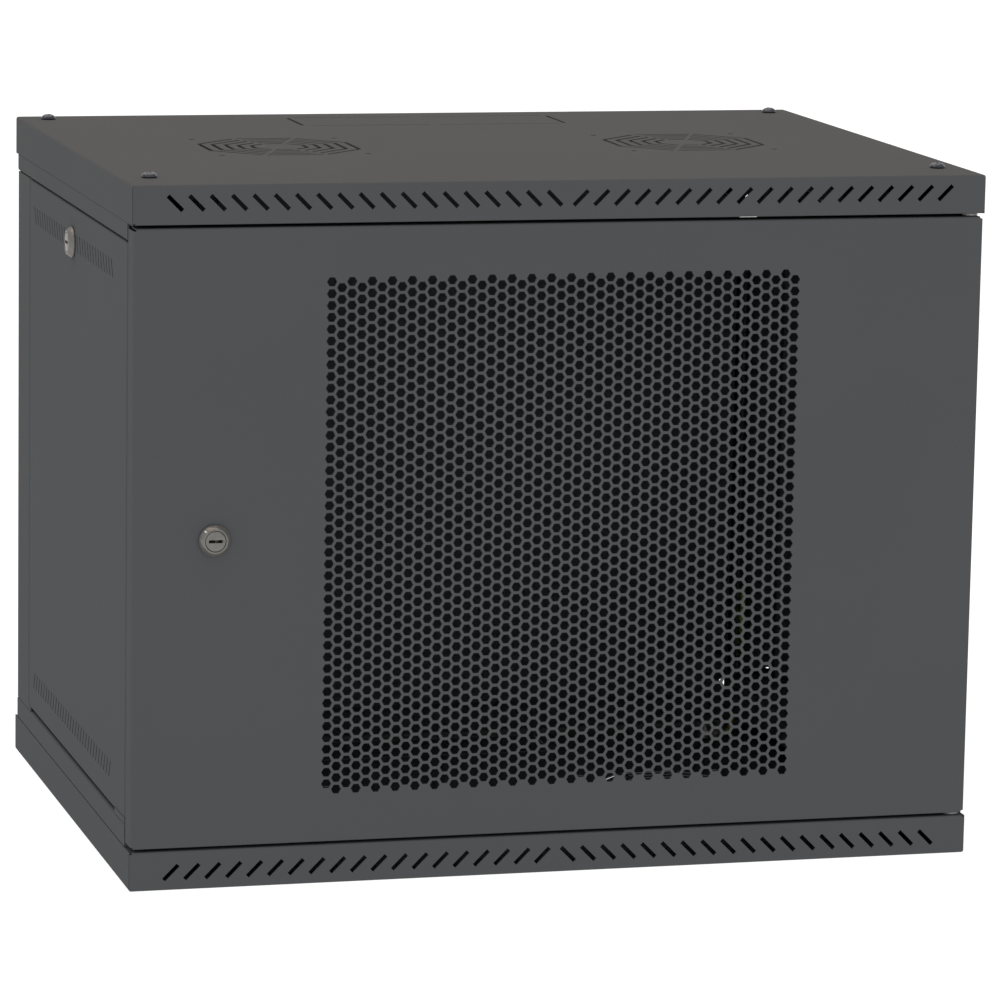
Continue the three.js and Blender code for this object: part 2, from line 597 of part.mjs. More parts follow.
// A shallow pan open to the rear, with a notch behind each corner and holes for the lock and the hinge pins.
function doorSheetBody() {
  const [z0, z1] = DOOR.z;
  const [x, r, back] = [DOOR.x, DOOR.corner, FRONT + DOOR.depth];
  const outer = new THREE.Shape();
  outer.moveTo(-x, back);
  outer.absarc(-x + r, FRONT + r, r, Math.PI, 1.5 * Math.PI);
  outer.absarc(x - r, FRONT + r, r, 1.5 * Math.PI, 2 * Math.PI);
  outer.lineTo(x, back);
  const drawn = new THREE.ExtrudeGeometry(outer, { depth: z1 - z0, bevelEnabled: false, curveSegments: 3 });
  const hollow = slab([-x + SHEET, x - SHEET], [FRONT + SHEET, back + 1], [z0 + SHEET, z1 - SHEET]);
  const tools = [hollow];
  for (const sx of [-1, 1]) {
    for (const z of DOOR.z) {
      const cornerX = [sx * x - DOOR.notch, sx * x + DOOR.notch];
      tools.push(slab(cornerX, [FRONT + DOOR.corner, back + 1], [z - DOOR.notch, z + DOOR.notch]));
    }
  }
  tools.push(bar(HINGE.radius + RUNNING, z0 - 1, z1 + 1).translate([HINGE.x, HINGE.y, 0]));
  const lockHole = alongY(bar(LOCK.barrel + RUNNING, -4, 4, ROUND_SIDES));
  tools.push(lockHole.translate([DOOR_LOCK.x, FRONT, DOOR_LOCK.z]));
  return cut(solid(drawn.translate(0, 0, z0)), ...tools);
}

// A hat-shaped channel down the door, beside the perforated field.
function stiffenerBody(x) {
  const { half, crown, z, depth } = STIFFENER;
  const [base, t] = [FRONT + SHEET + GAP, SHEET];
  const top = base + depth;
  const hat = [
    [-half, base], [-crown, base], [-crown, top - t], [crown, top - t], [crown, base], [half, base],
    [half, base + t], [crown + t, base + t], [crown + t, top], [-crown - t, top], [-crown - t, base + t],
    [-half, base + t],
  ];
  return prism(hat.map(([px, py]) => [px + x, py]), ...z);
}

// A plate on the door's inner face with a turned foot that guides a hinge pin.
function hingeBracketBody(footZ, plateZ) {
  const base = FRONT + SHEET + GAP;
  const { x, foot: reach } = HINGE_BRACKET;
  const plate = slab(x, [base, base + FRAME_SHEET], plateZ);
  const foot = slab(x, [base, base + FRAME_SHEET + reach], [footZ, footZ + FRAME_SHEET]);
  const hole = bar(HINGE.radius + RUNNING, footZ - 2, footZ + 4).translate([HINGE.x, HINGE.y, 0]);
  return cut(join(plate, foot), hole);
}

function buildDoor() {
  const [z0, z1] = DOOR.z;
  add(cabinet, "door_sheet", doorSheetBody(), "paint");
  add(cabinet, "door_stiffener_left", stiffenerBody(-STIFFENER.x), "paint");
  add(cabinet, "door_stiffener_right", stiffenerBody(STIFFENER.x), "paint");

  const upper = [z1 - SHEET - 3 - HINGE_BRACKET.height, z1 - SHEET - 3];
  const lower = [z0 + SHEET + 3, z0 + SHEET + 3 + HINGE_BRACKET.height];
  add(cabinet, "hinge_bracket_top", hingeBracketBody(upper[0], upper), "zinc");
  add(cabinet, "hinge_bracket_bottom", hingeBracketBody(lower[1] - FRAME_SHEET, lower), "zinc");

  const at = (body) => body.translate([HINGE.x, HINGE.y, 0]);
  const { radius, collar, collarHeight, rise } = HINGE;
  const collarTop = z1 - SHEET - GAP;
  const collarBase = collarTop - collarHeight;
  const spring = cut(
    bar(collar, upper[0] + FRAME_SHEET + GAP, collarBase - GAP),
    bar(radius + GAP, upper[0], collarTop),
  );
  const lever = alongX(bar(HINGE_LEVER.radius, -HINGE_LEVER.reach, 1, SHANK_SIDES));
  const topPin = join(
    bar(radius, upper[0] - HINGE_LEVER.tail, z1 + rise),
    bar(collar, collarBase, collarTop),
    lever.translate([0, 0, upper[0] - HINGE_LEVER.down]),
  );
  add(cabinet, "hinge_pin_top", at(topPin), "zinc");
  add(cabinet, "hinge_spring", at(spring), "springSteel");

  const seat = z0 + SHEET + GAP;
  const bottomPin = join(
    bar(radius, z0 - rise, lower[1] + 5),
    bar(collar, seat, seat + collarHeight),
  );
  add(cabinet, "hinge_pin_bottom", at(bottomPin), "zinc");

  const washer = (low, high) => cut(
    bar(HINGE.washer, low + GAP, high - GAP),
    bar(HINGE.radius + RUNNING, low - 1, high + 1),
  );
  add(cabinet, "hinge_washer_top", at(washer(z1, HEIGHT - COVER.height)), "nylon");
  add(cabinet, "hinge_washer_bottom", at(washer(COVER.height, z0)), "nylon");
}

// ---------- Earth bonding ----------

// A round tube through points, with closed ends.
function wireBody(points, radius) {
  const path = new THREE.CatmullRomCurve3(points.map((p) => new THREE.Vector3(...p)));
  const section = new THREE.Shape();
  section.absarc(0, 0, radius, 0, 2 * Math.PI);
  return solid(new THREE.ExtrudeGeometry(section, { steps: 44, curveSegments: 3, extrudePath: path }));
}

// A short bolt with a nut, along Z from its seat; the terminal is clamped under the nut.
function studBody() {
  return join(bar(EARTH.stud, 0, 11, SHANK_SIDES), bar(EARTH.hex, 2.2, 6.7, 6));
}

// A ring terminal round a stud, with its barrel along +Y.
function terminalBody() {
  const ring = cut(bar(6, GAP, 1.9), bar(EARTH.stud + GAP, -1, 5, SHANK_SIDES));
  const neck = slab([-2.5, 2.5], [4.5, 9], [GAP, 1.9]);
  const barrel = bar(EARTH.barrel, 7, EARTH.reach, SHANK_SIDES).rotate([-QUARTER, 0, 0]);
  return join(ring, neck, barrel.translate([0, 0, EARTH.barrel + GAP]));
}

// The wire leaves the rear post upwards, turns over and drops behind the post's rib, goes through a hole
// in the rail and comes out under the rail's lip to the floor.
function wireRoute(rearBarrel, floorBarrel) {
  return [
    rearBarrel,
    [272, 212.1, 102],
    [271.3, 209.7, 107.9],
    [269.7, 204.1, 110.4],
    [268, 198.4, 107.9],
    [267.3, 196, 102],
    [267, 195.8, 94],
    [266.8, 197, 86],
    [266.8, 200, 78],
    [266.8, 203.8, 70],
    [266.9, 207, 62],
    [266.9, 208.5, 54],
    [266.9, 208.6, 46],
    [266.4, 207, 38],
    [264.6, 202.5, 31.5],
    [262, 195.5, 27],
    [259.3, 187, 23.5],
    [256.3, 178.5, 18.8],
    [253, 171, 13.2],
    [249.6, 165, 8.4],
    [246.2, 161.4, 5.5],
    [243.5, 160.1, 4.6],
    floorBarrel,
  ];
}

function buildEarthing() {
  const [rx, rz] = EARTH.rear;
  const [fx, fy] = EARTH.floor;
  const face = FRAME.back - FRAME_SHEET - GAP;
  const seat = SHEET + GAP;
  const onPost = (body) => body.rotate([QUARTER, 0, 0]).translate([rx, face, rz]);
  const onFloor = (body) => body.rotate([0, 0, -QUARTER]).translate([fx, fy, seat]);
  add(cabinet, "earth_stud_rear", onPost(studBody()), "zinc");
  add(cabinet, "earth_stud_floor", onFloor(studBody()), "zinc");

  const lead = EARTH.barrel + GAP;
  const into = EARTH.reach - 2;
  const route = wireRoute([rx, face - lead, rz + into], [fx + into, fy, seat + lead]);
  const wire = wireBody(route, EARTH.wire);
  add(cabinet, "earth_wire", join(onPost(terminalBody()), wire, onFloor(terminalBody())), "earthWire");
}

buildCovers();
buildSideFrames();
buildRearPanel();
buildRackRails();
buildSidePanels();
buildSideLocks();
buildDoor();
buildDoorLock();
buildEarthing();

export default cabinet;
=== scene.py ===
"""Looks of a wall-mounted network cabinet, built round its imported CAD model.

Every piece is drawn in millimetres in the CAD frame (+X right, -Y out of the door, +Z up) and
scaled to metres as its mesh is made. Sheet metal is folded from flat patterns with their holes.
"""
import math

import bmesh
import bpy
from mathutils import Matrix, Vector
from mathutils.geometry import delaunay_2d_cdt


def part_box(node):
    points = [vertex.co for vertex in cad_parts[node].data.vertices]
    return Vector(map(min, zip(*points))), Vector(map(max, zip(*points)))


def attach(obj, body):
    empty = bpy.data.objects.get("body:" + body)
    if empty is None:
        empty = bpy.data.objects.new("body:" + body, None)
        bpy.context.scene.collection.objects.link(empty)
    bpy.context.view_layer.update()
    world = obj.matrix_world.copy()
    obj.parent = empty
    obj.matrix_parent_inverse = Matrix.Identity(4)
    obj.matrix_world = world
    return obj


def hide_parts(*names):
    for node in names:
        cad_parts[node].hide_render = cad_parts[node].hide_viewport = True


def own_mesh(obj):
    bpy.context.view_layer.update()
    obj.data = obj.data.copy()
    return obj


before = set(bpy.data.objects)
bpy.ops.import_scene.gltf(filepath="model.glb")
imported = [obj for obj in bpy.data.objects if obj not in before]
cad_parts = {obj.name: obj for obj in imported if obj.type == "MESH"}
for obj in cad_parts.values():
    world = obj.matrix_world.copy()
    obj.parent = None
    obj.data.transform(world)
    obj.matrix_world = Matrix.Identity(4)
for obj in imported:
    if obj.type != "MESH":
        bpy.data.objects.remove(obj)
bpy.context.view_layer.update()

MM = 0.001
SIDES = (("left", -1), ("right", 1))


# ---------- Sizes in millimetres; places come from the CAD nodes' boxes ----------

SHEET = 1.2
FRAME_SHEET = 1.5
RAIL_SHEET = 2.0
BEND = 2.0  # outer bend radius
TIGHT_BEND = 1.3  # of the covers' front and rear edges
BEND_STEPS = 5

DOOR_HEX = {"across": 6.1, "column": 6.954, "row": 8.03, "columns": 48, "rows": 44, "top": 414.8}
COVER_SLOT = {"size": (2.95, 14.2), "first": 9.2, "pitch": 14.54, "per_side": 19, "down": 12.3}
GRILLE = {
    "x": 150, "y": 1, "rings": 5, "inner": 18.8, "step": 8.68, "slot": 3.1, "spoke": 1.5,
    "fan": 52.5, "screw": 2.2,
}
COVER_LIPS = (17, 7)  # front and rear
# "ends" is the cut line's width at the ends, in the top and the bottom cover. It is narrower in the
# bottom one, as the bright floor shines through it.
KNOCKOUT = {"x": 99, "y": (139.0, 197.5), "ends": (2.8, 1.1), "side": 1.3, "bridge": 4.0, "corner": 3.5}
STIFFENER_CROWN = 9
VENT = {"y": -4.9, "pitch": 9.894, "count": 31, "width": 2.4, "length": 13.4, "lean": 0.47}
VENT_GAP = range(14, 18)  # the vents left out round the side lock
# Of each row of vents: height of its middle, way it leans, whether the lock interrupts it.
VENT_ROWS = ((417.1, 1, True), (69.9, -1, False))
LOCK_HOLE = 9.2
SCREW_HOLE = 3.0
SCREW_ACCESS = 6.75  # radius, in the bottom rails
COVER_SCREW_X = 280
PANEL_SCREW_X = 252
PANEL_SCREW_SEAT = 217.05
PANEL_HEM = (44.3, 440.7)
PANEL_FOOT = {"top": 46.0, "front": 35, "rear": 6}
KEYHOLE = {"x": 270.2, "z": 399, "round": 7.3, "slot": 3.2, "rise": 18}
WIRE_HOLE = (266.8, 208.2, 3.2)  # x, y, radius
# The side frames' rails: where the web ends, the x of the sheet nested in the cover, their overlap.
RAIL_STEP = {"top": 454.2, "bottom": 27.7, "nested": 298.5, "overlap": 2.0, "flange": 21.5}
RIB = {"x": (262.5, 264.0), "depth": 22.0, "gap": (387.0, 425.0)}
# The rails' rear ends: the tab between the sheets, the relief beside it, the corner cut for the post.
RAIL_END = {"tab": 262, "relief": (294, 296.8), "relief_depth": 3.5, "corner": (258.3, 212.9), "lip": 185}
RAIL_SLOT = {"half": 3.4, "y": (-173.4, -66.6)}  # for the equipment rails' bolts
POST_LEG = 13.5  # the rear post's narrow leg
# The rear panel's bend reliefs.
PANEL_RELIEF = {"x": 256.6, "z": (34.6, 446.9), "radius": 1.3}
RACK_HOLE = {"x": 232.55, "side": 9.5, "up": (6.35, 22.225, 38.1), "unit": 44.45, "units": 9}
HINGE_X = 292
PIN_RADIUS = 3.0
PIN_HOLE = PIN_RADIUS + 0.4
COLLAR_RADIUS = 5


def box_mm(node):
    low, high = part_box(node)
    return low / MM, high / MM


def centre_mm(node):
    low, high = box_mm(node)
    return (low + high) / 2


def outer_x(node, sign):
    """The outward face's x of a piece on the left (-1) or the right (1) side."""
    return box_mm(node)[0 if sign < 0 else 1].x


# ---------- Materials ----------


class Nodes:
    """A material's node tree, with short calls for the nodes used here."""

    def __init__(self, name):
        self.material = bpy.data.materials.new(name)
        self.material.use_nodes = True
        self.tree = self.material.node_tree
        self.shader = self.tree.nodes["Principled BSDF"]
        self.coords = self.add("ShaderNodeTexCoord").outputs["Object"]

    def add(self, kind, **settings):
        node = self.tree.nodes.new(kind)
        for key, value in settings.items():
            setattr(node, key, value)
        return node

    def link(self, out, into):
        self.tree.links.new(out, into)

    def noise(self, scale, detail=2.0, roughness=0.5, stretch=None):
        texture = self.add("ShaderNodeTexNoise")
        texture.inputs["Scale"].default_value = scale
        texture.inputs["Detail"].default_value = detail
        texture.inputs["Roughness"].default_value = roughness
        source = self.coords
        if stretch:
            mapping = self.add("ShaderNodeMapping")
            mapping.inputs["Scale"].default_value = stretch
            self.link(self.coords, mapping.inputs["Vector"])
            source = mapping.outputs["Vector"]
        self.link(source, texture.inputs["Vector"])
        return texture.outputs["Fac"]

    def ramp(self, source, stops):
        ramp = self.add("ShaderNodeValToRGB")
        elements = ramp.color_ramp.elements
        while len(elements) < len(stops):
            elements.new(0.5)
        for element, (place, colour) in zip(elements, stops):
            element.position = place
            element.color = (*colour, 1)
        self.link(source, ramp.inputs["Fac"])
        return ramp.outputs["Color"]

    def spread(self, source, low, high):
        span = self.add("ShaderNodeMapRange")
        span.inputs["To Min"].default_value = low
        span.inputs["To Max"].default_value = high
        self.link(source, span.inputs["Value"])
        return span.outputs["Result"]

    def bump(self, source, height_mm, strength=1.0, under=None):
        bump = self.add("ShaderNodeBump")
        bump.inputs["Strength"].default_value = strength
        bump.inputs["Distance"].default_value = height_mm * MM
        self.link(source, bump.inputs["Height"])
        if under:
            self.link(under, bump.inputs["Normal"])
        return bump.outputs["Normal"]

    def drive(self, socket, source):
        self.link(source, self.shader.inputs[socket])

    def settle(self, values):
        for socket, value in values.items():
            self.shader.inputs[socket].default_value = value


FLOOR_GLOW = 0.93
WORLD_LIGHT = 0.86  # on the object; the camera sees the world as white
PAINT_GREY = (0.0785, 0.0815, 0.085)
PAINT_GLOSS = 0.001
METAL = {"Metallic": 1.0}


def shade(colour, factor):
    return tuple(channel * factor for channel in colour)


def clouds(low, high):
    return [(0.3, low), (0.7, high)]


def coated(name, settings, stops, cloud, rough, *bumps):
    """A clouded colour, with uneven roughness and fine bumps.

    cloud is (noise scale, detail), rough adds the range, each bump its height in millimetres and strength.
    """
    n = Nodes(name)
    n.settle(settings)
    if stops:
        n.drive("Base Color", n.ramp(n.noise(*cloud), stops))
    n.drive("Roughness", n.spread(n.noise(*rough[:2]), *rough[2:]))
    normal = None
    for scale, detail, height, strength in bumps:
        normal = n.bump(n.noise(scale, detail), height, strength, normal)
    if normal:
        n.drive("Normal", normal)
    return n


def powder_coat():
    """Fine-textured grey powder coat with a slight orange peel."""
    settings = {"Metallic": 0.0, "Specular IOR Level": PAINT_GLOSS}
    stops = clouds(shade(PAINT_GREY, 0.985), shade(PAINT_GREY, 1.015))
    bumps = (420, 1, 0.02, 0.25), (2600, 2, 0.01, 0.35)
    return coated("powder_coat", settings, stops, (6, 3), (900, 1, 0.56, 0.66), *bumps).material


def zinc_plate(name="zinc_plate", tone=1.0):
    """Zinc with faint cloudy passivation and fine rolling lines; a low tone makes it black zinc."""
    stops = [(0.3, (0.50, 0.51, 0.53)), (0.55, (0.60, 0.60, 0.59)), (0.75, (0.62, 0.60, 0.54))]
    stops = [(at, shade(colour, tone)) for at, colour in stops]
    n = coated(name, METAL, stops, (55, 4), (300, 3, 0.28, 0.42))
    n.drive("Normal", n.bump(n.noise(1.0, stretch=(3000, 3000, 90)), 0.006, 0.3))
    return n.material


def satin_nickel():
    """Satin nickel on zinc die-casting, with fine turning marks."""
    settings = {"Metallic": 0.5, "Specular IOR Level": 0.1, "Specular Tint": (0.5, 0.5, 0.5, 1.0)}
    stops = clouds((0.155, 0.150, 0.141), (0.190, 0.184, 0.174))
    rough, bump = (900, 2, 0.11, 0.19), (1800, 2, 0.004, 0.3)
    return coated("satin_nickel", settings, stops, (260, 3), rough, bump).material


def black_nickel():
    """Glossy dark plating on screws."""
    stops = clouds((0.045, 0.05, 0.06), (0.07, 0.076, 0.086))
    rough, bump = (1200, 2, 0.06, 0.11), (1500, 1, 0.006, 0.3)
    return coated("black_nickel", METAL, stops, (500, 2), rough, bump).material


def spring_wire():
    stops = clouds((0.26, 0.26, 0.27), (0.36, 0.36, 0.36))
    return coated("spring_wire", METAL, stops, (400, 2), (900, 2, 0.25, 0.38)).material


def nylon():
    settings = {"Subsurface Weight": 0.08, "Subsurface Scale": 0.001}
    stops = clouds((0.30, 0.30, 0.29), (0.36, 0.36, 0.35))
    rough, bump = (1200, 2, 0.40, 0.52), (1500, 2, 0.01, 0.3)
    return coated("nylon", settings, stops, (350, 2), rough, bump).material


def earth_insulation():
    """Yellow PVC with a green stripe that winds round the wire."""
    n = coated("earth_insulation", {}, None, None, (800, 2, 0.32, 0.45), (900, 2, 0.01, 0.3))
    wave = n.add("ShaderNodeTexWave", wave_type="BANDS", bands_direction="DIAGONAL", wave_profile="SAW")
    wave.inputs["Scale"].default_value = 0.32
    n.link(n.add("ShaderNodeTexCoord").outputs["UV"], wave.inputs["Vector"])
    green, yellow = (0.02, 0.16, 0.02), (0.62, 0.52, 0.01)
    stops = [(0.0, green), (0.42, green), (0.46, yellow), (1.0, yellow)]
    n.drive("Base Color", n.ramp(wave.outputs["Fac"], stops))
    return n.material


def tinned_copper():
    stops = clouds((0.48, 0.48, 0.47), (0.62, 0.61, 0.58))
    return coated("tinned_copper", METAL, stops, (400, 3), (1200, 2, 0.28, 0.42)).material


def studio_floor():
    """A pale floor that glows, and looks nearly white, as overexposed studio paper does."""
    n = Nodes("studio_floor")
    n.settle({"Roughness": 1.0, "Specular IOR Level": 0.0})
    n.settle({"Emission Color": (1, 1, 1, 1), "Emission Strength": FLOOR_GLOW})
    n.drive("Base Color", n.ramp(n.noise(0.6), clouds((0.20, 0.20, 0.20), (0.22, 0.22, 0.22))))
    return n.material


# ---------- Mesh helpers ----------


def mesh_object(name, verts, faces, material, smooth_angle):
    """An object from millimetre points, with outward normals and creases where faces turn sharply."""
    mesh = bpy.data.meshes.new(name)
    mesh.from_pydata([Vector(v) * MM for v in verts], [], faces)
    bm = bmesh.new()
    bm.from_mesh(mesh)
    bmesh.ops.remove_doubles(bm, verts=bm.verts, dist=1e-6)
    bmesh.ops.recalc_face_normals(bm, faces=bm.faces)
    bm.to_mesh(mesh)
    bm.free()
    mesh.shade_smooth()
    mesh.set_sharp_from_angle(angle=math.radians(smooth_angle))
    return linked(name, mesh, material)


def linked(name, mesh, material):
    mesh.materials.append(material)
    piece = bpy.data.objects.new(name, mesh)
    bpy.context.scene.collection.objects.link(piece)
    return piece


def sheet_object(name, parts, material):
    """An object from folded sheets, each (verts, faces, normals): a face with normals is shaded by them."""
    verts, faces, normals = [], [], []
    for part_verts, part_faces, part_normals in parts:
        base = len(verts)
        verts.extend(Vector(v) * MM for v in part_verts)
        for face, corners in zip(part_faces, part_normals):
            faces.append(tuple(base + i for i in face))
            normals.append(corners)
    mesh = bpy.data.meshes.new(name)
    mesh.from_pydata(verts, [], faces)
    mesh.shade_smooth()
    loops = []
    for polygon, corners in zip(mesh.polygons, normals):
        flat = polygon.normal.copy()
        loops += corners or [flat] * len(polygon.vertices)
    mesh.normals_split_custom_set(loops)
    return linked(name, mesh, material)


def place(piece, body, slot, *nodes):
    """The piece moves with a CAD body and stands for CAD nodes; slot is not used."""
    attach(piece, body)
    if nodes:
        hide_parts(*nodes)
    return piece


def solid(name, shape, look, smooth_angle, body, *nodes):
    """A piece from (verts, faces); its look is (material, slot)."""
    return place(mesh_object(name, *shape, look[0], smooth_angle), body, look[1], *nodes)


def merge(parts):
    """Joins (verts, faces) pairs into one pair."""
    verts, faces = [], []
    for part_verts, part_faces in parts:
        base = len(verts)
        verts.extend(part_verts)
        faces.extend([tuple(base + i for i in face) for face in part_faces])
    return verts, faces


def moved(part, matrix):
    verts, faces = part
    return [matrix @ Vector(v) for v in verts], faces


# ---------- Folded sheet metal ----------


class Fold:
    """One direction of a flat pattern: a main leg from low to high, and legs folded at each end.

    Each leg is (outer length, turn): +1 folds towards the sheet's inner side, -1 away from it.
    A place on the main leg keeps its own coordinate; leg_at gives a place on a folded leg.
    """

    def __init__(self, low, high, low_legs=(), high_legs=(), thickness=SHEET, radius=BEND):
        self.thickness = thickness
        self.radius = radius
        self.sides = {}
        for sign, corner, legs in ((-1, low, low_legs), (1, high, high_legs)):
            self.sides[sign] = self.lay_out(sign, corner, legs)
        self.low = self.sides[-1]["flat"]
        self.high = self.sides[1]["flat"]

    def bend_radius(self, turn):
        return self.radius if turn > 0 else max(self.radius - self.thickness, 0.1)

    def lay_out(self, sign, corner, legs):
        if not legs:
            return {"flat": corner, "pieces": [], "legs": [], "end": corner}
        place_s = sign * corner - self.bend_radius(legs[0][1])
        flat = sign * place_s
        point = Vector((place_s, 0.0))
        heading = Vector((1.0, 0.0))
        inward = Vector((0.0, 1.0))
        pieces, leg_starts = [], []
        for i, (length, turn) in enumerate(legs):
            radius = self.bend_radius(turn)
            centre = point + inward * turn * radius
            bend = radius * math.pi / 2
            pieces.append(("arc", place_s, bend, centre, heading.copy(), inward.copy(), turn, radius))
            place_s += bend
            point = centre + heading * radius
            heading, inward = inward * turn, -heading * turn
            after = self.bend_radius(legs[i + 1][1]) if i + 1 < len(legs) else 0.0
            leg_starts.append(place_s - radius)
            straight = length - radius - after
            pieces.append(("line", place_s, straight, point.copy(), heading.copy(), inward.copy(), 0, 0))
            place_s += straight
            point = point + heading * straight
        return {"flat": flat, "pieces": pieces, "legs": leg_starts, "end": sign * place_s}

    def leg_at(self, sign, leg, distance):
        """The pattern coordinate at a distance from the outer corner where a leg starts."""
        return sign * (self.sides[sign]["legs"][leg] + distance)

    def ends(self):
        return self.sides[-1]["end"], self.sides[1]["end"]

    def bend_lines(self):
        lines = []
        for sign, side in self.sides.items():
            for kind, start, length, *_ in side["pieces"]:
                if kind == "arc":
                    lines += [sign * (start + length * k / BEND_STEPS) for k in range(BEND_STEPS + 1)]
        return lines

    def at(self, s):
        """(place, depth, inward normal) of a pattern coordinate."""
        if self.low <= s <= self.high:
            return s, 0.0, Vector((0.0, 1.0))
        sign = 1 if s > self.high else -1
        distance = s * sign
        pieces = self.sides[sign]["pieces"]
        if not pieces:
            return s, 0.0, Vector((0.0, 1.0))
        for piece in pieces:
            if distance <= piece[1] + piece[2]:
                break
        kind, start, _, point, heading, inward, turn, radius = piece
        if kind == "line":
            spot = point + heading * (distance - start)
            normal = inward
        else:
            angle = (distance - start) / radius
            spoke = heading * math.sin(angle) - inward * turn * math.cos(angle)
            spot = point + spoke * radius
            normal = -spoke * turn
        return sign * spot.x, spot.y, Vector((sign * normal.x, normal.y))


def fold_pattern(outline, holes, fold_u, fold_v=None, thickness=SHEET, mitre=False):
    """A closed folded sheet from a flat pattern: (verts, faces) in (u, v, depth) millimetres.

    At a mitred corner the two walls meet on the diagonal, on the inside as on the outside.
    """
    loops = [outline, *holes]
    points, edges, polygons = [], [], []
    for loop in loops:
        base = len(points)
        points.extend(Vector(p) for p in loop)
        polygons.append(list(range(base, len(points))))
    low = [min(p[i] for p in outline) - 1 for i in (0, 1)]
    high = [max(p[i] for p in outline) + 1 for i in (0, 1)]
    for u in fold_u.bend_lines():
        edges.append((len(points), len(points) + 1))
        points += [Vector((u, low[1])), Vector((u, high[1]))]
    for v in fold_v.bend_lines() if fold_v else ():
        edges.append((len(points), len(points) + 1))
        points += [Vector((low[0], v)), Vector((high[0], v))]
    flat, _, triangles, _, _, origins = delaunay_2d_cdt(points, edges, polygons, 1, 1e-4)
    kept = [t for t, origin in zip(triangles, origins) if origin and all(i == 0 for i in origin)]

    def overshoot(value, fold):
        return max(fold.low - value, value - fold.high, 0.0) if fold else 0.0

    def landed(point, depth_in):
        u, v = point
        over_u, over_v = overshoot(u, fold_u), overshoot(v, fold_v)
        if over_u >= over_v:
            place_u, depth, normal = fold_u.at(u)
            place_v = v
            if mitre and over_v > 1e-6:
                place_v -= math.copysign(depth_in * abs(normal.x), v)
            return place_u + depth_in * normal.x, place_v, depth + depth_in * normal.y
        place_v, depth, normal = fold_v.at(v)
        place_u = u
        if mitre and over_u > 1e-6:
            place_u -= math.copysign(depth_in * abs(normal.x), u)
        return place_u, place_v + depth_in * normal.x, depth + depth_in * normal.y

    def facing(point):
        """The inward normal of the folded sheet at a pattern point."""
        u, v = point
        if overshoot(u, fold_u) >= overshoot(v, fold_v):
            normal = fold_u.at(u)[2]
            return Vector((normal.x, 0.0, normal.y))
        normal = fold_v.at(v)[2]
        return Vector((0.0, normal.x, normal.y))

    count = len(flat)
    verts = [landed(p, 0.0) for p in flat] + [landed(p, thickness) for p in flat]
    inward = [facing(p) for p in flat]
    faces, normals, rim = [], [], {}
    for a, b, c in kept:
        faces += [(c, b, a), (a + count, b + count, c + count)]
        normals += [(-inward[c], -inward[b], -inward[a]), (inward[a], inward[b], inward[c])]
        for edge in ((a, b), (b, c), (c, a)):
            key = (min(edge), max(edge))
            rim[key] = None if key in rim else edge
    edges = [edge for edge in rim.values() if edge]
    faces += [(a, b, b + count, a + count) for a, b in edges]
    normals += [None] * len(edges)
    used = sorted({i for face in faces for i in face})
    renumber = {old: new for new, old in enumerate(used)}
    return [verts[i] for i in used], [tuple(renumber[i] for i in face) for face in faces], normals


def set_in(part, origin, u_axis, v_axis, depth_axis):
    """Places (u, v, depth) points in the CAD frame, and turns faces round where the axes mirror them."""
    axes = Matrix((u_axis, v_axis, depth_axis)).transposed()
    mirrored = axes.determinant() < 0
    verts, faces, normals = part
    verts = [Vector(origin) + axes @ Vector(v) for v in verts]
    normals = [corners and [axes @ corner for corner in corners] for corners in normals]
    if mirrored:
        faces = [tuple(reversed(face)) for face in faces]
        normals = [corners and corners[::-1] for corners in normals]
    return verts, faces, normals


def flat_shaded(part):
    """A plain closed shape as a sheet part, its faces turned outwards and shaded flat."""
    bm = bmesh.new()
    corners = [bm.verts.new(v) for v in part[0]]
    for face in part[1]:
        bm.faces.new([corners[i] for i in face])
    bmesh.ops.recalc_face_normals(bm, faces=bm.faces)
    bm.verts.index_update()
    verts = [v.co.copy() for v in bm.verts]
    faces = [tuple(v.index for v in face.verts) for face in bm.faces]
    bm.free()
    return verts, faces, [None] * len(faces)


def pan_outline(fold_u, fold_v, gap, mitre=True, relief=0.0):
    """The cross-shaped pattern of a pan whose four sides fold up."""
    u_flat, v_flat = (fold_u.low, fold_u.high), (fold_v.low, fold_v.high)

    def flap(fold, other, sign):
        """The flap's edge as (along the fold, low limit, high limit), from its root outwards."""
        rows = []
        for index, (_, start, length, *_) in enumerate(fold.sides[sign]["pieces"]):
            if index == 0:
                for k in range(BEND_STEPS + 1):
                    spread = min(other.radius * math.sin(k / BEND_STEPS * math.pi / 2), other.radius - gap)
                    rows.append((start + length * k / BEND_STEPS, spread if mitre else -relief))
            elif index == 1:
                rows.append((start + length, other.radius - gap if mitre else -relief))
            elif index == 2:
                rows.append((start, 0.0))
            if index >= 2:
                rows.append((start + length, 0.0))
        return [(sign * s, other.low - spread, other.high + spread) for s, spread in rows]

    right, left = (flap(fold_u, fold_v, sign) for sign in (1, -1))
    top, bottom = (flap(fold_v, fold_u, sign) for sign in (1, -1))
    corners = 0 if mitre else 1
    outline = [(s, low) for s, low, _ in right] + [(s, high) for s, _, high in reversed(right)]
    outline += [(u_flat[1], v_flat[1])] * corners
    outline += [(high, s) for s, _, high in top] + [(low, s) for s, low, _ in reversed(top)]
    outline += [(u_flat[0], v_flat[1])] * corners
    outline += [(s, high) for s, _, high in left] + [(s, low) for s, low, _ in reversed(left)]
    outline += [(u_flat[0], v_flat[0])] * corners
    outline += [(low, s) for s, low, _ in bottom] + [(high, s) for s, _, high in reversed(bottom)]
    outline += [(u_flat[1], v_flat[0])] * corners
    return without_repeats(outline)


